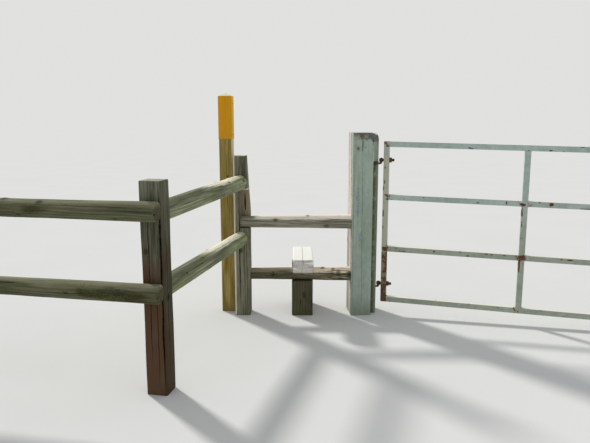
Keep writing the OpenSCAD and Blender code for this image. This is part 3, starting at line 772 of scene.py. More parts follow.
def yellow_plastic():
    """Sun-faded moulded plastic with faint run marks and dirt, a painted highlight on its top facets, and its
    right side painted brighter as if lit.
    """
    f = Finish("yellow_plastic", roughness=0.5, specular=0.15)
    broad = f.noise(9, 4, 0.4, 0.55)
    runs = f.noise(90, 4, 0.02, 0.6, 3.0)
    fine = f.noise(420, 3, 1, 0.6, 6.0)
    tone = f.sum(f.times(broad, 0.6), (runs, 0.4))
    colour = f.ramp(tone, (0.36, (0.86, 0.59, 0.06)), (0.5, (0.90, 0.635, 0.08)), (0.64, (0.92, 0.68, 0.13)))
    # Painted highlight: faces that look up turn pale cream.
    top = f.smooth(f.facing((0, 0, 1)), 0.5, 0.85)
    colour = f.mix(f.times(top, 0.95), colour, (1.0, 0.99, 0.83))
    # Painted light: the side that faces right turns a brighter yellow, as if lit.
    right = f.smooth(f.facing((math.cos(WAYMARK_TURN), -math.sin(WAYMARK_TURN), 0)), 0.55, 0.9)
    colour = f.mix(f.times(right, 0.6), colour, (0.98, 0.81, 0.20))
    dirt = f.smooth(f.sum(runs, (fine, 0.3)), 0.78, 0.95)
    colour = f.mix(f.times(dirt, 0.3), colour, (0.62, 0.46, 0.13))
    grime = f.times(f.mark("grime"), f.smooth(f.sum(fine, (broad, 0.6)), 0.6, 1.0))
    colour = f.mix(f.times(grime, 0.4), colour, (0.60, 0.46, 0.16))
    rough = f.math("MULTIPLY_ADD", fine, 0.25, 0.40)
    return f.finish(colour, f.sum(fine, (runs, 0.5)), distance=0.0003, strength=0.4, roughness=rough)


# Colours of bare timbers: dark, middle and light wood, bleached, lichen, cut ends, tan, and the painted shade
# inside cracks
BARE_TIMBERS = {
    "dark_timber": (
        (0.235, 0.23, 0.185), (0.435, 0.43, 0.355), (0.62, 0.61, 0.525), (1.0, 0.96, 0.88),
        (0.46, 0.50, 0.34), (0.62, 0.58, 0.48), (0.61, 0.55, 0.45)),
    "weathered_timber": (
        (0.25, 0.235, 0.18), (0.46, 0.44, 0.345), (0.68, 0.63, 0.53), (1.0, 0.93, 0.83),
        (0.36, 0.39, 0.22), (0.50, 0.46, 0.38), (0.50, 0.42, 0.32)),
    "bleached_timber": (
        (0.55, 0.52, 0.48), (0.76, 0.725, 0.69), (0.88, 0.85, 0.82), (1.0, 0.995, 0.965),
        (0.56, 0.55, 0.44), (0.93, 0.89, 0.865), (0.52, 0.46, 0.38), (0.60, 0.57, 0.53)),
    "waymark_timber": (
        (0.46, 0.40, 0.21), (0.615, 0.545, 0.295), (0.725, 0.635, 0.39), (0.84, 0.79, 0.68),
        (0.42, 0.47, 0.22), (0.55, 0.47, 0.30), (0.54, 0.44, 0.20)),
    "red_brown_timber": (
        (0.20, 0.19, 0.15), (0.35, 0.35, 0.28), (0.50, 0.50, 0.42), (0.66, 0.66, 0.58),
        (0.44, 0.48, 0.33), (0.56, 0.55, 0.47), (0.36, 0.265, 0.19)),
    "lichen_pole": (
        (0.35, 0.365, 0.28), (0.515, 0.53, 0.42), (0.68, 0.69, 0.575), (1.0, 0.97, 0.86),
        (0.56, 0.63, 0.41), (0.54, 0.52, 0.42), (0.36, 0.34, 0.22)),
}
MATERIALS = {
    "painted_timber": painted_timber(),
    "painted_steel": painted_steel(),
    "rusty_steel": rusty_steel(),
    "yellow_plastic": yellow_plastic(),
}
MATERIALS.update({name: bare_timber(name, *colours) for name, colours in BARE_TIMBERS.items()})


# Timber pieces. Cracks and knots lie at a distance round the outline from its first corner.

def spots(p, patches):
    """How strongly patches show on the front of a post: (across, up, half width, half height, strength)."""
    return np.maximum.reduce([
        strength * ease(-np.hypot((p[:, 0] - x) / half_w, (p[:, 2] - z) / half_h), -1.15, -0.55)
        for x, z, half_w, half_h, strength in patches])


def large_section(width, depth, height, rebated):
    """Outline of a gate post at a height: its arrises, the swing rebate or bevel, and the worn shoulder."""
    left, right, front, rear = -width / 2, width / 2, -depth / 2, depth / 2

    def at(z):
        top_right = right - rounded_off(z - height + SHOULDER_R, SHOULDER_R)
        inside = min(right - REBATE_W, top_right - 0.006)
        if not rebated:
            cut = [(top_right, front, FRONT_ARRIS)]
        elif z < REBATE_TOP:
            cut = [(inside, front, 0.004), (right - REBATE_W, front + REBATE_D, 0.002),
                   (top_right, front + REBATE_D, 0.005)]
        else:
            start = min(right - BEVEL_W, top_right - 0.003)
            slant = max(BEVEL_D * (top_right - right + BEVEL_W) / BEVEL_W, 0.003)
            cut = [(inside, front, 0.004), (start, front, 0.002), (top_right, front + slant, 0.004)]
        return outline([(left, front, FRONT_ARRIS), *cut, (top_right, rear, ARRIS), (left, rear, ARRIS)])
    return at


def gate_post_paint(half_w, half_d, height):
    """Marks of paint, bare wood, wet wood and lichen on the gate post, of the dark band under its top, of painted
    shade in the rebate, under the rebate's top end and along the left face, and of a painted highlight on the
    shoulder.
    """
    def paint(p, marks):
        x, y, z = p.T
        front = ease(-y, half_d - 0.012, half_d - 0.004)
        left = ease(-x, half_w - 0.008, half_w - 0.001)
        right_strip = (x > half_w - BEVEL_W + 0.002) * (y < -half_d + BEVEL_D)
        # Painted shade in the rebate, darkest at its inner corner, over wet olive wood; the chamfer above gets a
        # lighter share.
        in_rebate = right_strip * (z < REBATE_TOP) * (1.1 - 0.55 * ease(x, 0.058, 0.092))
        ragged = 0.020 * noise(p, (0.02, 0.02, 0.03), 5, 2)
        top = ease(z + ragged + 0.25 * x, height - 0.075, height - 0.010)
        wrap = 0.010 + 0.050 * ease(z, 0.75, 1.20)
        painted = ease(-y + ragged, half_d - wrap - 0.006, half_d - wrap)
        # Painted shade on the left face: a brown band behind the paint's edge, and a darker rear half low down.
        arris = left * (1 - painted) * ease(-y + ragged, half_d - wrap - 0.030, half_d - wrap - 0.020)
        shaded = left * ease(y + ragged, -0.020, 0.020) * ease(-z, -0.67, -0.63)
        shoulder = half_w - rounded_off(z - height + SHOULDER_R, SHOULDER_R)
        # Bare pale wood over the shoulder's rounded top, partly a painted highlight.
        crest_highlight = (z > height - SHOULDER_R) * (x > shoulder - 0.005) * (x < 0.080)
        over = height - rounded_off(x - half_w + SHOULDER_R, SHOULDER_R)
        # Bare wood along the shoulder's top edge, which also gets a painted highlight.
        worn = (z + 0.4 * ragged > over - 0.009) * (x > 0.040) * (x < 0.076)
        worn = np.maximum(front, right_strip) * worn
        bared = np.maximum(marks["end"], np.maximum(crest_highlight, worn))
        # Painted shadow under the top end of the rebate.
        hollow = right_strip * ease(-np.abs(z - 1.078), -0.026, -0.012)
        foot = ease(-z, -0.16, -0.02)
        return {
            "bare": np.maximum(0.95 * left * (1 - painted) + 0.2 * foot, bared),
            "damp": np.maximum(np.maximum(in_rebate, right_strip * 0.35), 0.45 * foot),
            "weather": 1.05 * top * (1 - bared) * (1 - left),
            "stain": np.maximum(0.9 * arris, 0.5 * shaded),
            "smear": front * spots(p, GREY_SMEARS), "light": worn,
            "growth": np.maximum(front, right_strip) * spots(p, LICHEN_DOTS),
            "hollow": np.maximum(marks["hollow"], 0.5 * hollow),
        }
    return paint


def gate_post():
    width, depth = LARGE_POST
    low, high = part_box("gate_post")
    height = high.z - low.z
    cracks = [
        Crack(0.076, 0.012, 1.150, 0.0019, 0.011, 0.003, lean=-0.017),
        Crack(0.067, 1.152, 1.246, 0.0070, 0.014, 0.002),
        Crack(0.012, 0.05, 1.18, 0.0016, 0.005, 0.002),
        Crack(0.136, 1.195, 1.245, 0.0040, 0.008, 0.001),
        Crack(0.44, 0.10, 0.95, 0.004, 0.016, 0.006),
        Crack(0.52, 0.55, height - 0.01, 0.003, 0.012, 0.005),
        Crack(0.64, 0.04, 0.80, 0.003, 0.010, 0.005),
        Crack(0.69, 0.70, height - 0.02, 0.0035, 0.014, 0.004),
        Crack(0.355, 0.20, 1.10, 0.003, 0.010, 0.004),
    ]
    knots = [Knot(0.038, 1.179, 0.010, -0.010), Knot(0.60, 0.52, 0.017, 0.002),
             Knot(0.50, 0.30, 0.020, 0.002), Knot(0.087, 1.188, 0.004, -0.003)]
    around = 0.771
    checks = [(at / around, reach, sunk) for at, reach, sunk in (
        (0.072, 0.8, 0.010), (0.52, 0.9, 0.008), (0.69, 0.6, 0.007), (0.30, 0.5, 0.005))]
    timber("gate_post", "painted_timber", Matrix.Rotation(POST_TURN, 4, "Z"),
           large_section(width, depth, height, True), height, step=0.0062, breaks=(REBATE_TOP,),
           cracks=cracks, knots=knots, grain=0.0004, worn=0.0008, edge=0.004, checks=((), checks),
           paint=gate_post_paint(width / 2, depth / 2, height), seed=3)


def latch_post():
    width, depth = LARGE_POST
    low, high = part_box("latch_post")
    height = high.z - low.z

    def paint(p, marks):
        x, z = p.T[::2]
        right = ease(x, width / 2 - 0.010, width / 2 - 0.002)
        top = ease(z + 0.018 * noise(p, (0.02, 0.02, 0.03), 8, 2), height - 0.060, height - 0.03)
        foot = ease(-z, -0.16, -0.02)
        return {"bare": 0.5 * right + 0.3 * foot, "damp": 0.5 * foot,
                "weather": np.maximum(top, marks["end"]), "growth": 0.15 * top}

    timber("latch_post", "painted_timber", stand("latch_post_foot", GATE_YAW),
           large_section(width, depth, height, False), height, step=0.008, spacing=0.0048,
           cracks=scattered_cracks(0.77, height, 9, 41, 0.003, 0.010), grain=0.0004, worn=0.0008, edge=0.004,
           checks=((), [(0.2, 0.8, 0.008), (0.62, 0.6, 0.006)]), paint=paint, seed=9)


def stile_post():
    low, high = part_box("stile_post")
    width, depth, height = high.x - low.x, high.y - low.y, high.z
    half_w, half_d = width / 2, depth / 2
    notch_floor = UPPER_RAIL_Z - UPPER_RAIL_D[0] / 2

    def section(z):
        right = half_w - STILE_TAPER * min(1, max(0, (z - TAPER_START) / (height - TAPER_START)))
        inner_x, inner_y = half_w - NOTCH_W, -half_d + NOTCH_D
        notched = notch_floor < z < NOTCH_TOP
        corner = (inner_x, inner_y, 0.002) if notched else (right, -half_d, 0.006)
        return outline([(-half_w, -half_d, STILE_WANE), (inner_x, -half_d, 0.002), corner,
                        (right, inner_y, 0.002), (right, half_d, ARRIS), (-half_w, half_d, ARRIS)])

    def paint(p, marks):
        x, y, z = p.T
        in_notch = (z > notch_floor) * (z < NOTCH_TOP) * (x > half_w - NOTCH_W - 0.002) \
            * (y < -half_d + NOTCH_D + 0.003)
        # Painted highlight: the wane and the left face are paled where light from the left catches them, over
        # bleached wood.
        wane = ease(-x, half_w - 0.020, half_w - 0.004) * ease(-y, 0.0, 0.04)
        left = ease(-x, half_w - 0.010, half_w - 0.002)
        lip = ease(-np.abs(z - NOTCH_TOP - 0.004), -0.006, -0.003) * (x > half_w - NOTCH_W) \
            * (y < -half_d + NOTCH_D)
        top = marks["end"] * (z > height / 2)
        # A dark slot in the notch, painted as shade where there is no gap.
        slot = in_notch * spots(p, [NOTCH_SLOT])
        return {"tan": in_notch * 0.9, "bleach": np.maximum(0.75 * wane, 0.35 * left) + 1.3 * top + 0.7 * lip,
                "growth": 0.25 * wane + 0.2 * ease(z, 0.9, 1.1),
                "hollow": np.maximum(marks["hollow"], 0.42 * slot)}

    cracks = [
        Crack(0.050, 0.03, height - 0.008, 0.0070, 0.026, 0.003),
        Crack(0.085, 0.93, height - 0.02, 0.003, 0.010, 0.003),
        Crack(0.100, 0.05, 0.55, 0.004, 0.014, 0.004),
        Crack(0.154, 0.735, 0.880, 0.0095, 0.012, 0.002),
        Crack(0.200, 0.25, 1.05, 0.004, 0.014, 0.004),
        Crack(0.285, 0.05, 0.75, 0.004, 0.014, 0.005),
        Crack(0.375, 0.20, 1.08, 0.003, 0.010, 0.004),
    ]
    knots = [Knot(0.06, 0.47, 0.014, 0.002), Knot(0.33, 0.62, 0.016, 0.003), Knot(0.15, 0.96, 0.010, 0.002)]
    around = 0.450
    checks = [(0.050 / around, 0.95, 0.016), (0.200 / around, 0.6, 0.008), (0.55, 0.7, 0.008),
              (0.78, 0.8, 0.010)]
    timber("stile_post", "dark_timber", middle_of("stile_post"), section, height, spacing=0.003,
           breaks=(notch_floor, NOTCH_TOP), cracks=cracks, knots=knots, grain=0.0009, worn=0.0018, edge=0.005,
           checks=((), checks), paint=paint, seed=13)


def upper_stile_rail():
    low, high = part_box("upper_stile_rail")
    length = high.x - low.x
    halved_to = NOTCH_W + SEAT

    def shape(full):
        back = STILE_FRONT + NOTCH_D + RAIL_FORWARD - SEAT
        inside = full[..., 2] < halved_to
        full[..., 0] = np.where(inside, np.minimum(full[..., 0], back), full[..., 0])
        return full

    def paint(p, marks):
        y, z = p.T[1:]
        top = ease(y + 0.006 * noise(p, (0.02, 0.02, 0.08), 3, 2), 0.018, 0.034) * ease(z, 0.08, 0.15)
        return {"bleach": 0.15 + 2.2 * top, "growth": 0.18 * (1 - top)}

    around = math.pi * UPPER_RAIL_D[0]
    cracks = [Crack(share * around, *rest) for share, *rest in (
        (0.36, 0.10, 0.52, 0.002, 0.006, 0.005), (0.47, 0.02, 0.30, 0.002, 0.006, 0.005),
        (0.56, 0.50, 0.78, 0.002, 0.006, 0.005), (0.20, 0.20, 0.78, 0.003, 0.008, 0.003),
        (0.80, 0.10, 0.60, 0.003, 0.008, 0.003))]
    knots = [Knot(share * around, *rest) for share, *rest in (
        (0.43, 0.245, 0.012, 0.003), (0.60, 0.60, 0.014, 0.002), (0.30, 0.47, 0.011, 0.0025))]
    timber("upper_stile_rail", "dark_timber", facing((low.x, -RAIL_FORWARD, UPPER_RAIL_Z), (1, 0, 0)),
           tapered(UPPER_RAIL_D, NOTCH_W, length - NOTCH_W - MORTISE), length, spacing=0.003,
           breaks=(halved_to,), cracks=cracks, knots=knots, grain=0.0008, worn=0.0016, edge=0.002,
           shape=shape, paint=paint, seed=17)


def lower_stile_rail():
    low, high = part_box("lower_stile_rail")
    length = high.x - low.x
    board, leg = [[end.x - low.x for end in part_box(node)] for node in ("step_board", "front_step_leg")]
    rail = tapered(LOWER_RAIL_D, MORTISE, length - MORTISE - MORTISE)

    def section(z):
        return round_outline(TENON_D / 2) if z < MORTISE else rail(z)

    def shape(full):
        for (start, end), side in ((board, 1), (leg, -1)):
            inside = (full[..., 2] > start) * (full[..., 2] < end)
            over = np.maximum(side * full[..., 1] - RAIL_SEAT_H / 2, 0) * inside
            full[..., 1] -= side * over
        return full

    def paint(p, marks):
        y, z = p.T[1:]
        top = ease(y + 0.008 * noise(p, (0.02, 0.02, 0.07), 4, 2), 0.012, 0.032)
        scars = ease(noise(p, (0.018, 0.018, 0.05), 16, 2), 0.25, 0.5) * ease(z, 0.45, 0.60)
        # Painted shade: the left end and the underside are darkened and the top pales less on the left, with wet
        # wood and growth there too.
        left = ease(-z, -0.42, -0.30)
        below = ease(-y, 0.0, 0.035)
        return {"bleach": 1.7 * top * (1 - 0.7 * left) + 0.5 * scars, "growth": 0.22 + 0.3 * left,
                "tan": ease(noise(p, (0.03, 0.03, 0.09), 6, 2), -0.1, 0.3) * (1 - left),
                "damp": np.maximum(0.75 * left, 0.7 * below)}

    around = math.pi * TENON_D
    cracks = [Crack(share * around, *rest) for share, *rest in (
        (0.40, 0.52, 0.85, 0.003, 0.009, 0.006), (0.52, 0.05, 0.33, 0.003, 0.009, 0.005),
        (0.60, 0.56, 0.80, 0.003, 0.009, 0.006), (0.28, 0.08, 0.36, 0.003, 0.010, 0.004),
        (0.85, 0.10, 0.70, 0.003, 0.009, 0.004))]
    knots = [Knot(share * around, *rest) for share, *rest in (
        (0.44, 0.66, 0.015, 0.005), (0.36, 0.62, 0.010, 0.004), (0.47, 0.735, 0.013, -0.004),
        (0.33, 0.76, 0.012, 0.005), (0.50, 0.20, 0.011, 0.004), (0.30, 0.55, 0.010, 0.003))]
    timber("lower_stile_rail", "weathered_timber", facing((low.x, -RAIL_FORWARD, LOWER_RAIL_Z), (1, 0, 0)),
           section, length, spacing=0.0026, breaks=(MORTISE, *board, *leg), cracks=cracks, knots=knots,
           grain=0.0010, worn=0.0022, edge=0.002, shape=shape, paint=paint, seed=23)


def step_board():
    low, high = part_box("step_board")
    width, thick, length = high.x - low.x, high.z - low.z, high.y - low.y
    half_w, half_t = width / 2, thick / 2

    def section(z):
        return outline([(half_w, half_t, 0.008), (-half_w, half_t, 0.008), (-half_w, -half_t, 0.006),
                        (half_w, -half_t, 0.006)])

    def paint(p, marks):
        y, z = p.T[1:]
        top = ease(y, half_t - 0.014, half_t - 0.007) * (1 - marks["end"])
        # The underside is darkened as painted shade; a darker band runs under the top edge of the near end.
        under = ease(-y, half_t - 0.012, half_t - 0.002)
        lip = marks["end"] * ease(y, half_t - 0.011, half_t - 0.007) * (z < length / 2)
        return {"bleach": 4.0 * top, "growth": 0.3 * under, "tan": 0.7 * under,
                "damp": np.maximum(lip, 0.2 * under)}

    middle_top = half_w + 0.003
    cracks = [
        Crack(middle_top, -0.08, length + 0.08, 0.0034, 0.007, 0.002),
        Crack(width + 0.030, 0.03, 0.30, 0.003, 0.009, 0.003),
        Crack(width + thick + 0.05, 0.05, 0.38, 0.003, 0.009, 0.003),
        Crack(2 * width + thick + 0.030, 0.08, 0.36, 0.003, 0.009, 0.003),
    ]
    share = middle_top / (2 * (width + thick) - 0.024)
    checks = ([(share, 0.95, 0.012), (0.70, 0.75, 0.008), (0.42, 0.6, 0.005), (0.93, 0.6, 0.005)],
              [(share, 0.9, 0.012), (0.60, 0.7, 0.007), (0.85, 0.6, 0.006)])
    place = facing(((low.x + high.x) / 2, low.y, (low.z + high.z) / 2), (0, 1, 0))
    timber("step_board", "bleached_timber", place, section, length, step=0.0045, spacing=0.003, cracks=cracks,
           knots=[Knot(0.20, 0.30, 0.014, 0.001)], grain=0.0006, worn=0.0010, edge=0.004, checks=checks,
           pith=(0.0, -0.006), paint=paint, seed=29)


def step_leg(node, seed):
    low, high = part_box(node)
    width, depth, height = high.x - low.x, high.y - low.y, high.z

    def paint(p, marks):
        # Painted shade: the whole leg is darkened, as it stands under the step, with growth low down.
        foot = ease(-p[:, 2], -0.12, -0.01)
        return {"growth": 0.25 + 0.3 * foot, "tan": 0.2 + 0 * foot, "damp": 1.0 + 0 * foot}

    cracks = scattered_cracks(2 * (width + depth), height, 9, seed, 0.004, 0.012)
    timber(node, "dark_timber", middle_of(node), lambda z: rectangle(width / 2, depth / 2, 0.007), height,
           step=0.007, spacing=0.0042, cracks=cracks, knots=[Knot(0.09, 0.15, 0.015, 0.003)], grain=0.0009,
           worn=0.0016, checks=((), [(0.3, 0.8, 0.008)]), paint=paint, seed=seed)


def waymark_post():
    half, height = WAYMARK_W / 2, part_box("waymark_post")[1].z
    cap_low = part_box("waymark_cap")[0].z

    def paint(p, marks):
        x, y, z = p.T
        right = ease(x, half - 0.006, half - 0.001)
        left_front = ease(-x, 0.0, 0.04) * ease(-y, half - 0.01, half - 0.002)
        foot = ease(-z, -0.25, -0.02)
        grey = ease(z, cap_low - 0.32, cap_low - 0.02)
        return {"bleach": 0.8 * right * grey + 0.35 * right, "growth": 0.28 * left_front + 0.35 * foot,
                "tan": ease(noise(p, (0.04, 0.04, 0.2), 3, 2), 0.0, 0.5)}

    knots = [Knot(at, z, radius, 0.0005) for at, z, radius in (
        (0.06, 0.98, 0.008), (0.03, 0.52, 0.010), (0.16, 1.07, 0.009))]
    timber("waymark_post", "waymark_timber", stand("waymark_post_foot", WAYMARK_TURN),
           lambda z: rectangle(half, half, 0.003), height, step=0.009, spacing=0.004,
           cracks=scattered_cracks(4 * WAYMARK_W, cap_low, 7, 31, 0.0022, 0.007), knots=knots, grain=0.0003,
           worn=0.0004, edge=0.002, paint=paint, seed=37)


def fence_post(node, seed, split):
    """A square post of the rail fence, with a deep split in one arris or only fine cracks."""
    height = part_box(node)[1].z
    side = FENCE_POST_W
    half = side / 2

    def paint(p, marks):
        x, z = p.T[::2]
        low_down = ease(-z, -0.86, -0.60)
        top = ease(z + 0.03 * noise(p, (0.02, 0.02, 0.1), seed, 2), height - 0.16, height - 0.02)
        ends = marks["end"] * (z > height / 2)
        # Painted shade: the right face is darkened.
        return {"tan": np.clip(low_down * 1.2, 0, 1), "bleach": 0.35 * top + 0.9 * ends,
                "growth": 0.30 * top + 0.1, "damp": 0.5 * ease(x, half - 0.012, half - 0.004)}

    main_crack = (0.012, 0.034) if split else (0.004, 0.012)
    cracks = [
        Crack(side - 0.006, 0.02, height - 0.004, *main_crack, 0.004),
        Crack(0.045, 0.15, height - 0.02, 0.005, 0.018, 0.006),
        Crack(0.078, 0.02, 0.62, 0.004, 0.014, 0.004),
        Crack(side + 0.050, 0.05, height - 0.10, 0.006, 0.020, 0.006),
        Crack(2 * side + 0.040, 0.10, 0.95, 0.005, 0.016, 0.005),
        Crack(3 * side + 0.055, 0.05, 1.0, 0.005, 0.016, 0.005),
    ]
    knots = [Knot(0.03, 0.74, 0.013, 0.003), Knot(0.165, 0.50, 0.015, 0.003), Knot(0.27, 0.83, 0.012, 0.002)]
    around = 4 * side - 0.014
    checks = [(c.at / around, 0.9 - 0.1 * i % 3, 0.010) for i, c in enumerate(cracks) if i != 2]
    timber(node, "red_brown_timber", stand(node + "_foot", CORNER_TURN),
           lambda z: rectangle(half, half, 0.008), height, step=0.007, spacing=0.0034 if split else 0.0048,
           cracks=cracks, knots=knots, grain=0.0010, worn=0.0020, edge=0.005, checks=((), checks),
           paint=paint, seed=seed)


# Round poles of the rail fence

def plane_end(place, point, normal):
    """(a, b, c) of the cut z = a + b x + c y that a plane of the part makes in a timber's own frame."""
    back = place.inverted()
    p = back @ Vector(point)
    n = back.to_3x3() @ Vector(normal)
    return (p.dot(n) / n.z, -n.x / n.z, -n.y / n.z)


def pole(node, place, diameters, around, length, cracks, knots, seed, **settings):
    """A round pole with small cracks, and with knots and cut branch stubs spread along it."""
    rng = np.random.default_rng(seed)
    stubs = [Knot(rng.uniform(0, around), rng.uniform(0.05, 0.95) * length, rng.uniform(0.009, 0.015),
                  rng.uniform(0.002, 0.005)) for _ in range(knots)]
    timber(node, "lichen_pole", place, tapered(diameters, 0, length), length, kind="pole",
           cracks=scattered_cracks(around, length, cracks, seed, 0.004, 0.012, 0.035), knots=stubs,
           grain=0.0007, worn=0.0016, seed=seed, **settings)


def return_rail(node, seed):
    corner_axis = Vector((math.sin(CORNER_TURN), math.cos(CORNER_TURN), 0))
    near = FEET["corner_post_foot"] + corner_axis * (FENCE_POST_W / 2)
    near.z = RETURN_Z[node] - RETURN_FALL
    far = Vector((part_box("stile_post")[0].x + RETURN_INSET, STILE_FRONT, RETURN_Z[node]))
    length = (far - near).length
    place = facing(near, far - near)

    def paint(p, marks):
        y, z = p.T[1:]
        above = y + 0.006 * noise(p, (0.03, 0.03, 0.12), seed, 2)
        patches = noise(p, (0.05, 0.05, 0.22), seed + 2, 2)
        # Painted light: the top of the pole is paled over its far, sunlit stretch but not over its shaded near
        # part or its end by the stile post; the upper side elsewhere is darkened as painted shade.
        sunlit_stretch = ease(z, 0.38 * length, 0.66 * length) * (1 - 0.7 * ease(z, 0.90 * length, 0.97 * length))
        crest_highlight = sunlit_stretch * ease(above, 0.030, 0.044)
        return {"bleach": 2.2 * crest_highlight, "growth": 0.30 + 0.35 * patches + 0.15 * sunlit_stretch,
                "tan": 0.4 * ease(patches, 0.15, 0.5), "damp": 0.30 * ease(above, 0.015, 0.034) * (1 - crest_highlight)}

    ends = (plane_end(place, near + corner_axis * SEAT, corner_axis),
            plane_end(place, (0, STILE_FRONT - SEAT, 0), (0, 1, 0)))
    pole(node, place, RETURN_D, math.pi * RETURN_D[0], length, 7, 7, seed, step=0.007, spacing=0.0036,
         edge=0.006, ends=ends, paint=paint)


def hedge_rail(node, seed):
    turn = stand("corner_post_foot", CORNER_TURN)
    half = FENCE_POST_W / 2
    z = HEDGE_Z[node]
    tip = turn @ Vector((-HEDGE_BAY - HEDGE_TAIL, -half - HEDGE_D[0] / 2 + RAIL_FLAT, z))
    butt = turn @ Vector((half, -half - HEDGE_D[1] / 2 + RAIL_FLAT, z))
    place = facing(tip, butt - tip)
    to_corner = turn.inverted() @ place

    def shape(full):
        local = moved(full, to_corner)
        at_post = np.minimum(np.abs(local[..., 0]), np.abs(local[..., 0] + HEDGE_BAY)) < 2 * half
        over = np.where(at_post, np.maximum(local[..., 1] + half + SEAT, 0), 0)
        full[..., 0] -= over * np.array(to_corner)[1, 0]
        return full

    def paint(p, marks):
        top = ease(p[:, 1] + 0.010 * noise(p, (0.03, 0.03, 0.12), seed, 2), 0.010, 0.040)
        patches = noise(p, (0.05, 0.05, 0.22), seed + 2, 2)
        # Painted shade: the whole rail is darkened, as it lies in leaf shade.
        return {"bleach": 0.5 * top, "growth": 0.26 + 0.25 * patches,
                "tan": ease(patches, 0.15, 0.5) * (1 - top), "damp": 1.0 + 0 * top}

    checks = ([(0.3, 0.8, 0.008)], [(0.15, 0.9, 0.010), (0.55, 0.8, 0.008), (0.8, 0.6, 0.008)])
    pole(node, place, HEDGE_D, math.pi * HEDGE_D[1], (butt - tip).length, 8, 9, seed, step=0.009,
         spacing=0.0040, edge=0.004, checks=checks, shape=shape, paint=paint)


# Plastic cap of the waymark post

def waymark_cap():
    low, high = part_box("waymark_cap")
    half, face = CAP_W / 2, CAP_W / 2 - 0.0006
    eaves = high.z - low.z - CAP_PEAK
    profile = [(half - CAP_WALL, 0.0), (half - CAP_WALL * 0.4, 0.0), (half, 0.0012), (half, 0.010),
               (face, 0.012), (face, eaves - 0.006), (half - 0.0012, eaves - 0.0015),
               (half - 0.004, eaves + 0.0008)]
    for share in np.linspace(0.9, 0.08, 9):
        profile.append((share * (half - 0.004), eaves + 0.0008 + (1 - share) * (CAP_PEAK - 0.002)))
    shares = np.arange(CAP_COLUMNS) / CAP_COLUMNS
    points = []
    for size, z in profile:
        ring = rectangle(size, size, min(0.004, size * 0.5))
        xy = along_outline(ring, measured(ring)[1], shares)
        if 0.012 < z < eaves - 0.01:
            bow = 0.0010 * noise(np.column_stack([xy, np.full(CAP_COLUMNS, z)]), (0.05, 0.05, 0.11), 4)
            xy = xy * (1 - 0.010 + bow[:, None] * 4)
        points.extend([x, y, z] for x, y in xy)
    rows = numbered(len(profile), CAP_COLUMNS)
    points.append([0, 0, high.z - low.z])
    faces = skin(rows) + fan(rows[-1], len(points) - 1) + [tuple(reversed(rows[0]))]
    z = np.array(points)[:, 2]
    marks = {"grime": ease(-z, -0.05, 0.0) + 0.25 * ease(z, eaves - 0.02, eaves)}
    add_mesh("waymark_cap_shell", points, faces, "yellow_plastic",
             stand("waymark_post_foot", WAYMARK_TURN, low.z), replaces=("waymark_cap",), marks=marks)


# Steel details

def weld_loop(seed):
    """A fillet weld round a square tube's end, in the plane z = 0."""
    size = TUBE_W / 2 + 0.0002
    ring = rectangle(size, size, 0.004, 6)
    count = 56
    shares = np.arange(count) / count
    xy = along_outline(ring, measured(ring)[1], shares)
    ripple = 0.0022 + 0.0005 * np.sin(shares * count * 2.2) + 0.0004 * line_noise(shares * 3, 0.1, seed)
    return swept(np.column_stack([xy, 0 * shares]), ripple, 6, closed=True)


def gate_welds():
    """Welds where the rails meet the uprights, and at both ends of each short upright of the braces."""
    parts = []
    plumb_to_rail = LEAF.to_3x3() @ Vector((math.sin(GATE_DROOP), 0, math.cos(GATE_DROOP)))
    for level in range(RAILS):
        for u, sign in ((STILE_U + TUBE_W, 1), (STILE_U + GATE_BAYS * GATE_BAY, -1)):
            at = on_leaf(u + sign * 0.0005, 0, rail_z(level, u))
            parts.append((weld_loop(level + 3), facing(at, ALONG_LEAF)))
    for bay in range(1, GATE_BAYS):
        u = STILE_U + bay * GATE_BAY + TUBE_W / 2
        for level in range(RAILS):
            for side in (-1, 1):
                if 0 <= level + (side - 1) / 2 < RAILS - 1:
                    at = on_leaf(u, 0, rail_z(level, u) + side * (TUBE_W / 2 + 0.0004))
                    parts.append((weld_loop(level + 9), facing(at, plumb_to_rail, ALONG_LEAF)))
    add_joined("gate_welds", parts, "painted_steel")


def blister(long, high, thick, seed):
    """A lump of rust scale that lies on the plane z = 0, long across it and high up it."""
    sides = 14
    angle = np.arange(sides) * 2 * math.pi / sides
    points = []
    for share, height in ((1.0, -0.0004), (0.86, 0.35 * thick), (0.55, 0.8 * thick), (0.25, thick)):
        reach = share * (1 + 0.35 * line_noise(angle / 6, 0.16, seed))
        points += [(long * r * math.cos(a), high * r * math.sin(a), height) for r, a in zip(reach, angle)]
    rows = numbered(4, sides)
    points.append((0, 0, thick * 0.8))
    return points, skin(rows) + fan(rows[-1], len(points) - 1) + [tuple(reversed(rows[0]))]


def gate_rust():
    """Rust scale on the leaf: what the near side shows, and as much again elsewhere."""
    rng = np.random.default_rng(5)

    def scattered(start, count):
        return [(rng.uniform(start, RUST_END), int(rng.integers(0, RAILS)),
                 rng.choice((-1, 1)) * rng.uniform(0.004, 0.013), rng.uniform(0.005, 0.014),
                 rng.uniform(0.003, 0.005)) for _ in range(count)]

    on_rails = [patch for patch in RUST_SEEN if abs(patch[2]) < TUBE_W / 2]
    parts = []
    for side, group in ((-1, on_rails + scattered(1.5, 46)), (1, scattered(0.1, 48))):
        out = LEAF.to_3x3() @ Vector((0, side, 0))
        for k, (u, level, lift, long, high) in enumerate(group):
            at = on_leaf(u, side * TUBE_W / 2, rail_z(level, u) + lift)
            room = max(TUBE_W / 2 - 0.002 - abs(lift), 0.002)
            parts.append((blister(0.6 * long, min(0.6 * high, room), RUST_THICK, k), facing(at, out)))
    add_joined("gate_rust_scale", parts)


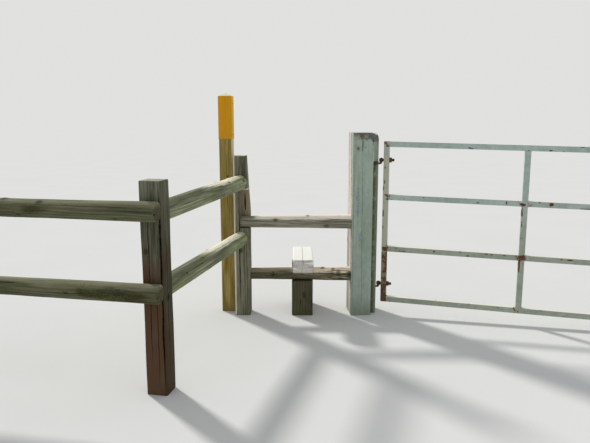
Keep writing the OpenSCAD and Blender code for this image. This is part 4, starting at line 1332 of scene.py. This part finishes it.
def stile_rot():
    """Scale and blown paint on the foot of the hanging stile."""
    rng = np.random.default_rng(11)
    parts = []
    for k in range(FOOT_LUMPS):
        turn = Vector(((0, -1, 0), (-1, 0, 0), (0, 1, 0), (1, 0, 0))[int(rng.integers(0, 4))])
        lift = rng.uniform(-0.013, 0.013)
        z = 0.12 + 0.37 * rng.uniform(0, 1) ** 0.8
        at = Vector((STILE_U + TUBE_W / 2, 0, z)) + turn * (TUBE_W / 2) + turn.cross(UP) * lift
        lump = blister(rng.uniform(0.002, 0.0045), rng.uniform(0.003, 0.008), 0.0014, k + 200)
        parts.append((lump, facing(LEAF @ at, LEAF.to_3x3() @ turn)))
    add_joined("hanging_stile_scale", parts)


def hinge_threads():
    """The thread that stands on each shank beyond its nut."""
    angle = np.linspace(0, THREAD_TURNS * 2 * math.pi, THREAD_TURNS * 20)
    path = np.stack([SHANK_D / 2 * np.cos(angle), SHANK_D / 2 * np.sin(angle),
                     angle / (2 * math.pi) * THREAD_PITCH], -1)
    thick = 0.0009 * np.clip(np.minimum(angle, angle[-1] - angle) / 2, 0.15, 1)
    parts = []
    for node in ("top_hinge_nut", "bottom_hinge_nut"):
        low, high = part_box(node)
        at = on_leaf(STILE_U + TUBE_W + NUT_T + 0.001, 0, (low.z + high.z) / 2)
        parts.append((swept(path, thick, 5), facing(at, ALONG_LEAF)))
    add_joined("hinge_threads", parts)


def nail(radius, proud=0.0016):
    """A round nail head on the plane z = 0."""
    return turned([(0, -0.002), (radius * 0.8, -0.002), (radius, 0.0002), (radius * 0.98, proud * 0.6),
                   (radius * 0.7, proud), (0, proud * 1.15)], 16)


def nails():
    """Nail heads where the rails are fixed, and at the cap."""
    parts = []
    turn = stand("corner_post_foot", CORNER_TURN)
    front = turn.to_3x3() @ Vector((0, -1, 0))
    half = FENCE_POST_W / 2
    growth = HEDGE_D[1] - HEDGE_D[0]
    for z in HEDGE_Z.values():
        for x, lift in ((-0.020, 0.010), (0.014 - HEDGE_BAY, -0.008)):
            share = (x + HEDGE_BAY + HEDGE_TAIL) / (HEDGE_BAY + HEDGE_TAIL + half)
            middle = -half - HEDGE_D[0] / 2 - growth / 2 * share + RAIL_FLAT
            at = turn @ Vector((x, middle - (HEDGE_D[0] + growth * share) / 2 + 0.0030, z + lift))
            parts.append((nail(0.004, 0.0012), facing(at, front)))
    for z in RETURN_Z.values():
        end = Vector((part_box("stile_post")[0].x + RETURN_INSET, STILE_FRONT, z))
        back = FEET["corner_post_foot"] + UP * (z - RETURN_FALL) - end
        out = back.cross(-UP).normalized()
        at = end + back.normalized() * 0.135
        parts.append((nail(0.006), facing(at + out * (RETURN_D[1] / 2 - 0.001), out)))
    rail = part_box("upper_stile_rail")
    for x, y in ((rail[0].x + 0.030, -RAIL_FORWARD), (-0.104, -RAIL_FORWARD - 0.006)):
        parts.append((nail(0.005), facing((x, y, rail[1].z - 0.004), (0, 0, 1), (0, 1, 0))))
    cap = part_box("waymark_cap")
    turn = stand("waymark_post_foot", WAYMARK_TURN)
    for z in (cap[0].z + 0.030, cap[1].z - 0.075):
        parts.append((nail(0.004), turn @ facing((CAP_W / 2 - 0.0004, 0, z), (1, 0, 0))))
    add_joined("nail_heads", parts, body="posts")


def stop_bolts():
    """Coach screws through the gate stop."""
    low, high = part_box("gate_stop")
    stop_face = LARGE_POST[0] / 2 + 0.006
    u = (FEET["latch_post_foot"] - PIN).dot(ALONG_LEAF) - stop_face
    at = on_leaf(u, 0.052, 0)
    head = turned([(0, -0.001), (0.011, -0.001), (0.011, 0.003), (0.009, 0.0065), (0.004, 0.0085),
                   (0, 0.009)], 18)
    parts = [(head, facing((at.x, at.y, z), -ALONG_LEAF)) for z in (low.z + 0.026, high.z - 0.026)]
    add_joined("gate_stop_screws", parts, body="posts")


def splinter(length, width, thick, seed):
    """A lifted sliver of wood along +X, on the plane z = 0."""
    points = []
    stages = np.linspace(0, 1, 12)
    for t in stages:
        half = width / 2 * (1 - t) ** 0.6 * (1 + 0.25 * math.sin(7 * t + seed)) + 0.0002
        rise = thick * (0.4 + 1.8 * t ** 2)
        bend = 0.15 * width * math.sin(5 * t + seed)
        ring = [(-half, -0.0012), (half, -0.0012), (half * 0.8, rise), (-half * 0.8, rise)]
        points += [(t * length, y + bend, z) for y, z in ring]
    rows = numbered(len(stages), 4)
    return points, [tuple(reversed(rows[0])), tuple(rows[-1])] + skin(rows)


def step_splinters():
    """Pale slivers torn from the near end of the step."""
    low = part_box("step_board")[0]
    torn = [(0.140, 0.073, 0.062, 0.018, math.pi + 0.06), (0.003, 0.034, 0.042, 0.009, -0.22),
            (0.050, 0.018, 0.030, 0.004, 0.05), (0.118, 0.030, 0.026, 0.004, math.pi - 0.15)]
    parts = []
    for k, (x, z, length, width, turn) in enumerate(torn):
        place = facing((low.x + x, low.y + 0.0002, low.z + z), (0, -1, 0))
        parts.append((splinter(length, width, 0.0016, k), place @ Matrix.Rotation(turn, 4, "Z")))
    add_joined("step_splinters", parts, "bleached_timber", "posts", {"bleach": 4.0})


# The whole object

gate_post()
latch_post()
stile_post()
upper_stile_rail()
lower_stile_rail()
step_board()
step_leg("front_step_leg", 43)
step_leg("rear_step_leg", 47)
waymark_post()
waymark_cap()
fence_post("corner_post", 53, True)
fence_post("hedge_post", 59, False)
return_rail("return_top_rail", 61)
return_rail("return_lower_rail", 67)
hedge_rail("hedge_top_rail", 71)
hedge_rail("hedge_lower_rail", 73)
gate_welds()
gate_rust()
stile_rot()
hinge_threads()
nails()
stop_bolts()
step_splinters()

for part in frame["record"]["subparts"]:
    node = frame["nodes"][part["node"]]
    node.data.materials.clear()
    node.data.materials.append(MATERIALS[part["material_slot"]])

# Stage: a pale floor, soft light from behind and to the left, and the photo's viewpoint

CAMERA_AT = (-0.481, -4.2, 1.37)
CAMERA_PITCH = math.radians(9.6)
FOCAL_PX, FRAME_PX, SENSOR_MM = 600, 590, 36
SUN_FROM = (-0.53, 0.65, 0.55)
SUN_STRENGTH = 2.6
SUN_ANGLE = math.radians(6)
SUN_COLOUR = (1.0, 0.98, 0.95)
SKY_STRENGTH = 0.53
SKY_COLOUR = (0.94, 0.97, 1.0, 1)
BACKDROP = (0.880, 0.884, 0.874)
FLOOR_TONES = ((0.3, (0.895, 0.895, 0.885)), (0.7, (0.905, 0.905, 0.895)))
FLOOR_REACH = 60.0


def stage():
    f = Finish("floor", roughness=1.0, specular=0.0)
    f.finish(f.ramp(f.noise(1.3, 4), *FLOOR_TONES))
    mesh = bpy.data.meshes.new("floor")
    corners = ((-1, -1), (1, -1), (1, 1), (-1, 1))
    mesh.from_pydata([(x * FLOOR_REACH, y * FLOOR_REACH, 0) for x, y in corners], [], [(0, 1, 2, 3)])
    mesh.materials.append(f.material)
    floor = bpy.data.objects.new("floor", mesh)
    bpy.context.scene.collection.objects.link(floor)


def lights():
    sun = bpy.data.lights.new("key", "SUN")
    sun.energy = SUN_STRENGTH
    sun.angle = SUN_ANGLE
    sun.color = SUN_COLOUR
    lamp = bpy.data.objects.new("key", sun)
    lamp.rotation_euler = Vector(SUN_FROM).to_track_quat("Z", "Y").to_euler()
    bpy.context.scene.collection.objects.link(lamp)
    world = bpy.data.worlds.new("soft_sky")
    world.use_nodes = True
    tree = world.node_tree
    sky = tree.nodes["Background"]
    sky.inputs["Color"].default_value = SKY_COLOUR
    sky.inputs["Strength"].default_value = SKY_STRENGTH
    seen = tree.nodes.new("ShaderNodeBackground")
    seen.inputs["Color"].default_value = rgb(*BACKDROP)
    path = tree.nodes.new("ShaderNodeLightPath")
    mix = tree.nodes.new("ShaderNodeMixShader")
    tree.links.new(path.outputs["Is Camera Ray"], mix.inputs["Fac"])
    tree.links.new(sky.outputs["Background"], mix.inputs[1])
    tree.links.new(seen.outputs["Background"], mix.inputs[2])
    tree.links.new(mix.outputs["Shader"], tree.nodes["World Output"].inputs["Surface"])
    bpy.context.scene.world = world


def camera():
    data = bpy.data.cameras.new("camera")
    data.sensor_width = SENSOR_MM
    data.lens = FOCAL_PX / FRAME_PX * SENSOR_MM
    eye = bpy.data.objects.new("camera", data)
    eye.location = CAMERA_AT
    eye.rotation_euler = (math.pi / 2 - CAMERA_PITCH, 0, 0)
    bpy.context.scene.collection.objects.link(eye)
    bpy.context.scene.camera = eye


stage()
lights()
camera()
bpy.context.scene.view_settings.view_transform = "Standard"
